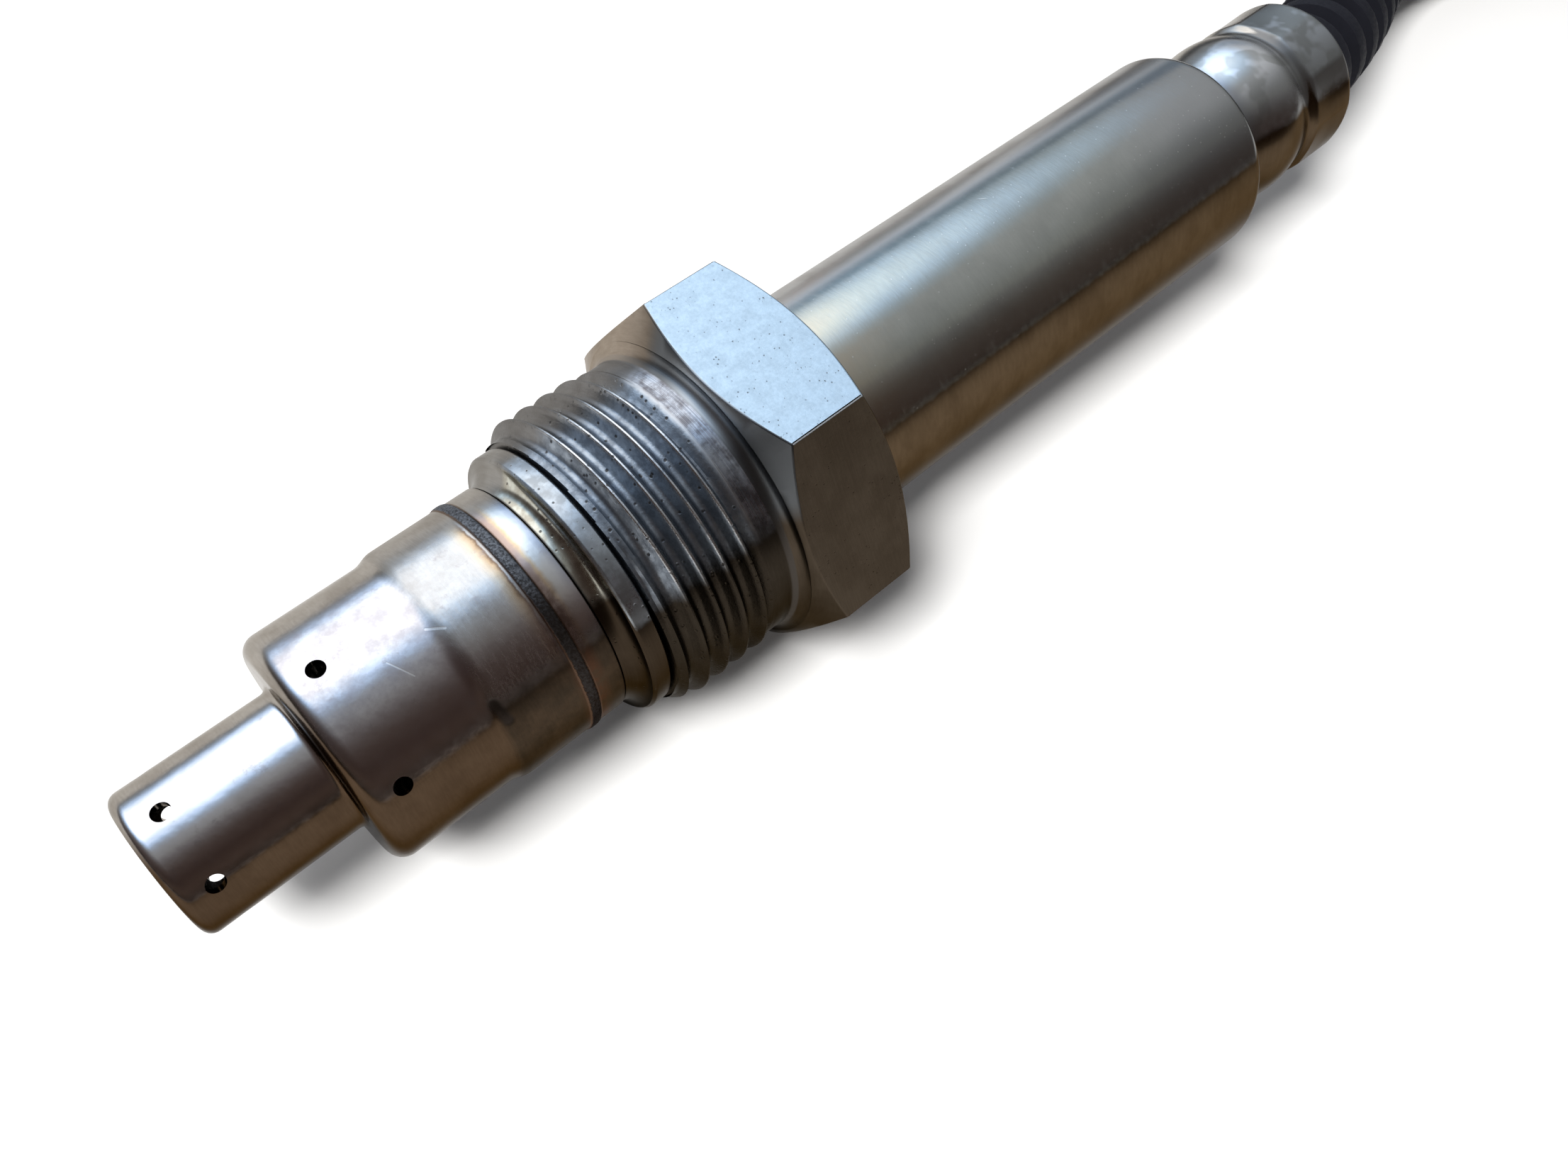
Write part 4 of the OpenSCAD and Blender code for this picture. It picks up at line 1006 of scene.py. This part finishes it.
def makeSleeveSteel(v):
    look = startSteel("sleeveSteel", v)
    tree, along = look["tree"], look["axis"]["Along"]
    look["rough"] = plus(tree, look["rough"], times(tree, look["streaks"]["Mask"], 0.05))
    streak = remap(tree, look["streaks"]["Height"], 0.1, 0.9)
    addLayer(look, times(tree, streak, 0.35), (0.34, 0.35, 0.325))
    warm = remap(tree, plus(tree, along, times(tree, look["smear"], 3.0)), v["nutBack"] + 9, v["nutBack"] + 1)
    addLayer(look, times(tree, warm, 0.8), (0.5, 0.44, 0.34))
    cool = remap(tree, along, v["back"] - 16, v["back"] - 4)
    addLayer(look, times(tree, cool, 0.6), (0.425, 0.43, 0.445))
    # painted shade on the side towards -y, growing towards the rear
    paintedSideShade = remap(tree, facing(tree, (0, -1, 0)), 0.2, 0.5)
    paintedRearShade = remap(tree, along, v["back"] - 22, v["back"] - 5)
    addLayer(look, times(tree, paintedSideShade, paintedRearShade, 0.6), (0.2, 0.2, 0.195), 0.22)
    # small bright specks: painted glints
    addLayer(look, times(tree, pitsOf(look, 4.5, 0.05), 0.6), (0.66, 0.66, 0.64), 0.26, 4.0)
    addLayer(look, scratchesOf(look, 0.6, 0.12, (0.1, 0.2, 0.7)), (0.62, 0.62, 0.6), 0.34, -4.0)
    paintedBrownReflection(look, (0.093, 0.063, 0.037), (0.44, 0.435, 0.43), 0.26)
    # painted pale reflection on the far edge, on the side towards +y
    paintedPaleReflection = times(tree, band(tree, look["axis"]["Level"], 0.69, 0.82, 0.05),
                   remap(tree, look["axis"]["Side"], 0.2, 0.4))
    addLayer(look, paintedPaleReflection, (0.8, 0.79, 0.77), 0.26)
    return endSteel(look)


def makeCapSteel():
    look = startSteel("capSteel", {"colour": (0.8, 0.81, 0.82), "rough": 0.15, "roughSpread": 0.1, "wave": 12.0,
                                   "waveScale": 0.5, "fine": 8.0, "long": 0.5, "brush": 0.8})
    tree, along = look["tree"], look["axis"]["Along"]
    patch = noiseOf(tree, look["place"], 0.42, 2.0)
    addLayer(look, times(tree, remap(tree, patch, 0.5, 0.6), 0.7), (0.42, 0.43, 0.41), 0.2)
    ring = remap(tree, along, 67.2, 67.8)
    ringShade = mixColour(tree, remap(tree, patch, 0.44, 0.56), (0.43, 0.45, 0.47), (0.27, 0.28, 0.275))
    addLayer(look, ring, ringShade, 0.36)
    # painted shade where the cap goes into the rolled end of the sleeve
    front = remap(tree, along, 62.0, 60.6)
    addLayer(look, front, (0.36, 0.38, 0.42), 0.22)
    # painted shadow in the groove between the hump and the crimped ring
    paintedGrooveShade = band(tree, along, 67.1, 68.2, 0.25)
    addLayer(look, times(tree, paintedGrooveShade, 0.85), (0.13, 0.125, 0.12), 0.4)
    # painted shade on the back of the hump, where it turns away into the groove
    fall = times(tree, remap(tree, facing(tree, (1, 0, 0)), 0.1, 0.4), remap(tree, along, 68.0, 67.4))
    addLayer(look, times(tree, fall, 0.85), (0.14, 0.135, 0.13), 0.35)
    # painted shade on the side towards -y
    paintedSideShade = remap(tree, facing(tree, (0, -1, 0)), 0.08, 0.5)
    addLayer(look, times(tree, paintedSideShade, 0.75), (0.22, 0.22, 0.215))
    paintedBrownReflection(look, (0.09, 0.062, 0.038), (0.5, 0.48, 0.45), 0.24)
    return endSteel(look)


wear(outerTube, makeTubeSteel(tubeLook))
wear(probeHousing, makeCollarSteel())
wear(glandNut, makeNutSteel(nutLook))
wear(longSleeve, makeSleeveSteel(sleeveLook))
wear(rearCap, makeCapSteel())


# Plastics, rubber, ceramic and the small hidden metals

def plainFinish(name, colour, rough, metallic=0.0, grain=0.12, shine=0.5):
    material, tree, shader = newMaterial(name)
    place = ownPlace(tree)
    cloud = noiseOf(tree, place, 0.3, 3.0)
    fine = noiseOf(tree, place, 3.0, 2.0)
    base = mixColour(tree, remap(tree, cloud, 0.3, 0.7), colour, [c * 0.8 for c in colour])
    tree.links.new(base, shader.inputs["Base Color"])
    tree.links.new(remap(tree, fine, 0.3, 0.7, rough - 0.06, rough + 0.08), shader.inputs["Roughness"])
    bump = addNode(tree, "ShaderNodeBump", {"Strength": grain, "Distance": 0.05 * mm, "Height": fine})
    tree.links.new(bump.outputs[0], shader.inputs["Normal"])
    shader.inputs["Metallic"].default_value = metallic
    shader.inputs["Specular IOR Level"].default_value = shine
    return material


wear(conduit, plainFinish("conduitPlastic", (0.012, 0.0125, 0.017), 0.62, shine=0.1))
# colour, roughness, other settings and the nodes that wear the finish
plainFinishes = {
    "tiePlastic": ((0.02, 0.02, 0.022), 0.4, {}, "coil_tie"),
    "plugPlastic": ((0.03, 0.031, 0.034), 0.5, {"grain": 0.3}, "plug_housing plug_latch plug_clamp"),
    "lockPlastic": ((0.28, 0.05, 0.03), 0.45, {}, "plug_lock"),
    "sealRubber": ((0.3, 0.12, 0.06), 0.6, {}, "plug_seal"),
    "grommetRubber": ((0.02, 0.02, 0.02), 0.65, {}, "grommet"),
    "collarRubber": ((0.03, 0.03, 0.032), 0.55, {}, "conduit_collar"),
    "guidePlastic": ((0.6, 0.56, 0.48), 0.5, {}, "wire_guide"),
    "wireWhite": ((0.7, 0.69, 0.66), 0.45, {}, "wire_1 wire_2"),
    "wireGrey": ((0.25, 0.25, 0.26), 0.45, {}, "wire_3"),
    "wireBlack": ((0.02, 0.02, 0.022), 0.45, {}, "wire_4"),
    "ceramic": ((0.72, 0.7, 0.64), 0.6, {"grain": 0.2}, "front_bush rear_bush block_top block_bottom"),
    "elementCeramic": ((0.6, 0.58, 0.54), 0.55, {}, "element"),
    "talc": ((0.66, 0.62, 0.52), 0.85, {"grain": 0.5}, "powder_ring"),
    "innerSteel": ((0.5, 0.48, 0.45), 0.3, {"metallic": 1.0}, "inner_tube seal_ring block_clip"),
    "contactMetal": ((0.62, 0.6, 0.56), 0.28, {"metallic": 1.0},
                     "contact_1 contact_2 contact_3 contact_4 socket_1 socket_2 socket_3 socket_4"),
}
for finishName, (colour, rough, settings, nodeNames) in plainFinishes.items():
    finish = plainFinish(finishName, colour, rough, **settings)
    for nodeName in nodeNames.split():
        wear(cadNodes[nodeName], finish)
print("materials done")


# Floor, lamps and surroundings

stageValues = {
    "floorHeight": -11.0,
    "floorSize": 4.0,
    "floorColour": (0.93, 0.93, 0.93),
    "floorGlow": 0.04,
    "windowAxis": (0.03, 0.669, 0.743),
    "windowLevel": 1.6,
    "softboxAzimuth": -171,
    "softboxElevation": 62,
    "softboxDistance": 1.0,
    "softboxSize": (0.32, 0.32),
    "softboxColour": (1.0, 0.99, 0.97),
    "softboxLight": 3.95,
    "skyAxis": (0.42, 0.58, 0.7),
    "sillColour": (0.2, 0.27, 0.36),
    "skyOnMatt": 0.45,
}


def makeFloor(v):
    pickNone()
    bpy.ops.mesh.primitive_plane_add(size=v["floorSize"], location=(0, 0, v["floorHeight"] * mm))
    floor = bpy.context.object
    floor.name = "paleFloor"
    material = bpy.data.materials.new("palePaper")
    material.use_nodes = True
    tree = material.node_tree
    tree.nodes.clear()
    out = addNode(tree, "ShaderNodeOutputMaterial")
    diffuse = addNode(tree, "ShaderNodeBsdfDiffuse", {"Color": (*v["floorColour"], 1)})
    path = addNode(tree, "ShaderNodeLightPath").outputs
    seen = plus(tree, plus(tree, path["Is Camera Ray"], path["Is Glossy Ray"]),
                path["Is Transmission Ray"], clamp=True)
    glow = addNode(tree, "ShaderNodeEmission", {"Color": (1, 1, 1, 1),
                                                "Strength": times(tree, seen, v["floorGlow"])})
    both = addNode(tree, "ShaderNodeAddShader", {0: diffuse.outputs[0], 1: glow.outputs[0]})
    tree.links.new(both.outputs[0], out.inputs["Surface"])
    wear(floor, material)


def makeSoftbox(v):
    # it gives the matt light and the tight shadow, and the window of the surroundings the reflections
    azimuth, elevation = math.radians(v["softboxAzimuth"]), math.radians(v["softboxElevation"])
    level = math.cos(elevation)
    toward = Vector((level * math.cos(azimuth), level * math.sin(azimuth), math.sin(elevation)))
    bpy.ops.object.light_add(type="AREA", location=toward * v["softboxDistance"])
    lamp = bpy.context.object
    lamp.name = "softboxLamp"
    lamp.rotation_euler = toward.to_track_quat("Z", "Y").to_euler()
    lamp.data.shape = "RECTANGLE"
    lamp.data.size, lamp.data.size_y = v["softboxSize"]
    lamp.data.color = v["softboxColour"]
    lamp.data.energy = v["softboxLight"] * math.pi * v["softboxDistance"] ** 2
    lamp.visible_glossy = False


def makeSurroundings(v):
    world = bpy.data.worlds.new("studioRoom")
    bpy.context.scene.world = world
    world.use_nodes = True
    tree = world.node_tree
    tree.nodes.clear()
    toward = addNode(tree, "ShaderNodeTexCoord").outputs["Generated"]
    share = alongVector(tree, toward, v["skyAxis"])
    colour = ramp(tree, remap(tree, share, -1.0, 1.0, smooth=False), [
        (0.0, (0.12, 0.09, 0.065)), (0.43, (0.062, 0.044, 0.038)), (0.555, (0.095, 0.075, 0.068)),
        (0.615, (0.13, 0.115, 0.11)), (0.68, (0.2, 0.192, 0.195)), (0.72, (0.29, 0.29, 0.285)),
        (0.8, (0.38, 0.39, 0.4)), (0.9, (0.5, 0.51, 0.53)), (1.0, (0.6, 0.62, 0.65))])
    split = addNode(tree, "ShaderNodeSeparateXYZ", {0: toward}).outputs
    sill = times(tree, band(tree, split[2], 0.08, 0.3, 0.06), remap(tree, split[0], 0.25, 0.5),
                 remap(tree, split[1], 0.3, 0.6), 0.7)
    colour = mixColour(tree, sill, colour, v["sillColour"])
    near = alongVector(tree, toward, v["windowAxis"])
    window = ramp(tree, remap(tree, near, 0.5, 1.0, smooth=False), [
        (0.338, (0, 0, 0)), (0.439, (0.012, 0.044, 0.08)), (0.532, (0.075, 0.156, 0.26)),
        (0.618, (0.25, 0.4, 0.62)), (0.732, (0.6, 0.74, 0.88)), (0.827, (1, 1, 1))])
    window = scaleVector(tree, window, [v["windowLevel"]] * 3)
    matt = addNode(tree, "ShaderNodeLightPath").outputs["Is Diffuse Ray"]
    colour = mixColour(tree, minus(tree, 1.0, matt), colour, window, "ADD")
    sky = addNode(tree, "ShaderNodeBackground", {"Color": colour, "Strength": remap(
        tree, matt, 0.0, 1.0, 1.0, v["skyOnMatt"], smooth=False)})
    out = addNode(tree, "ShaderNodeOutputWorld")
    tree.links.new(sky.outputs[0], out.inputs["Surface"])


makeFloor(stageValues)
makeSoftbox(stageValues)
makeSurroundings(stageValues)
bpy.context.scene.view_settings.view_transform = "Standard"
print("stage done")
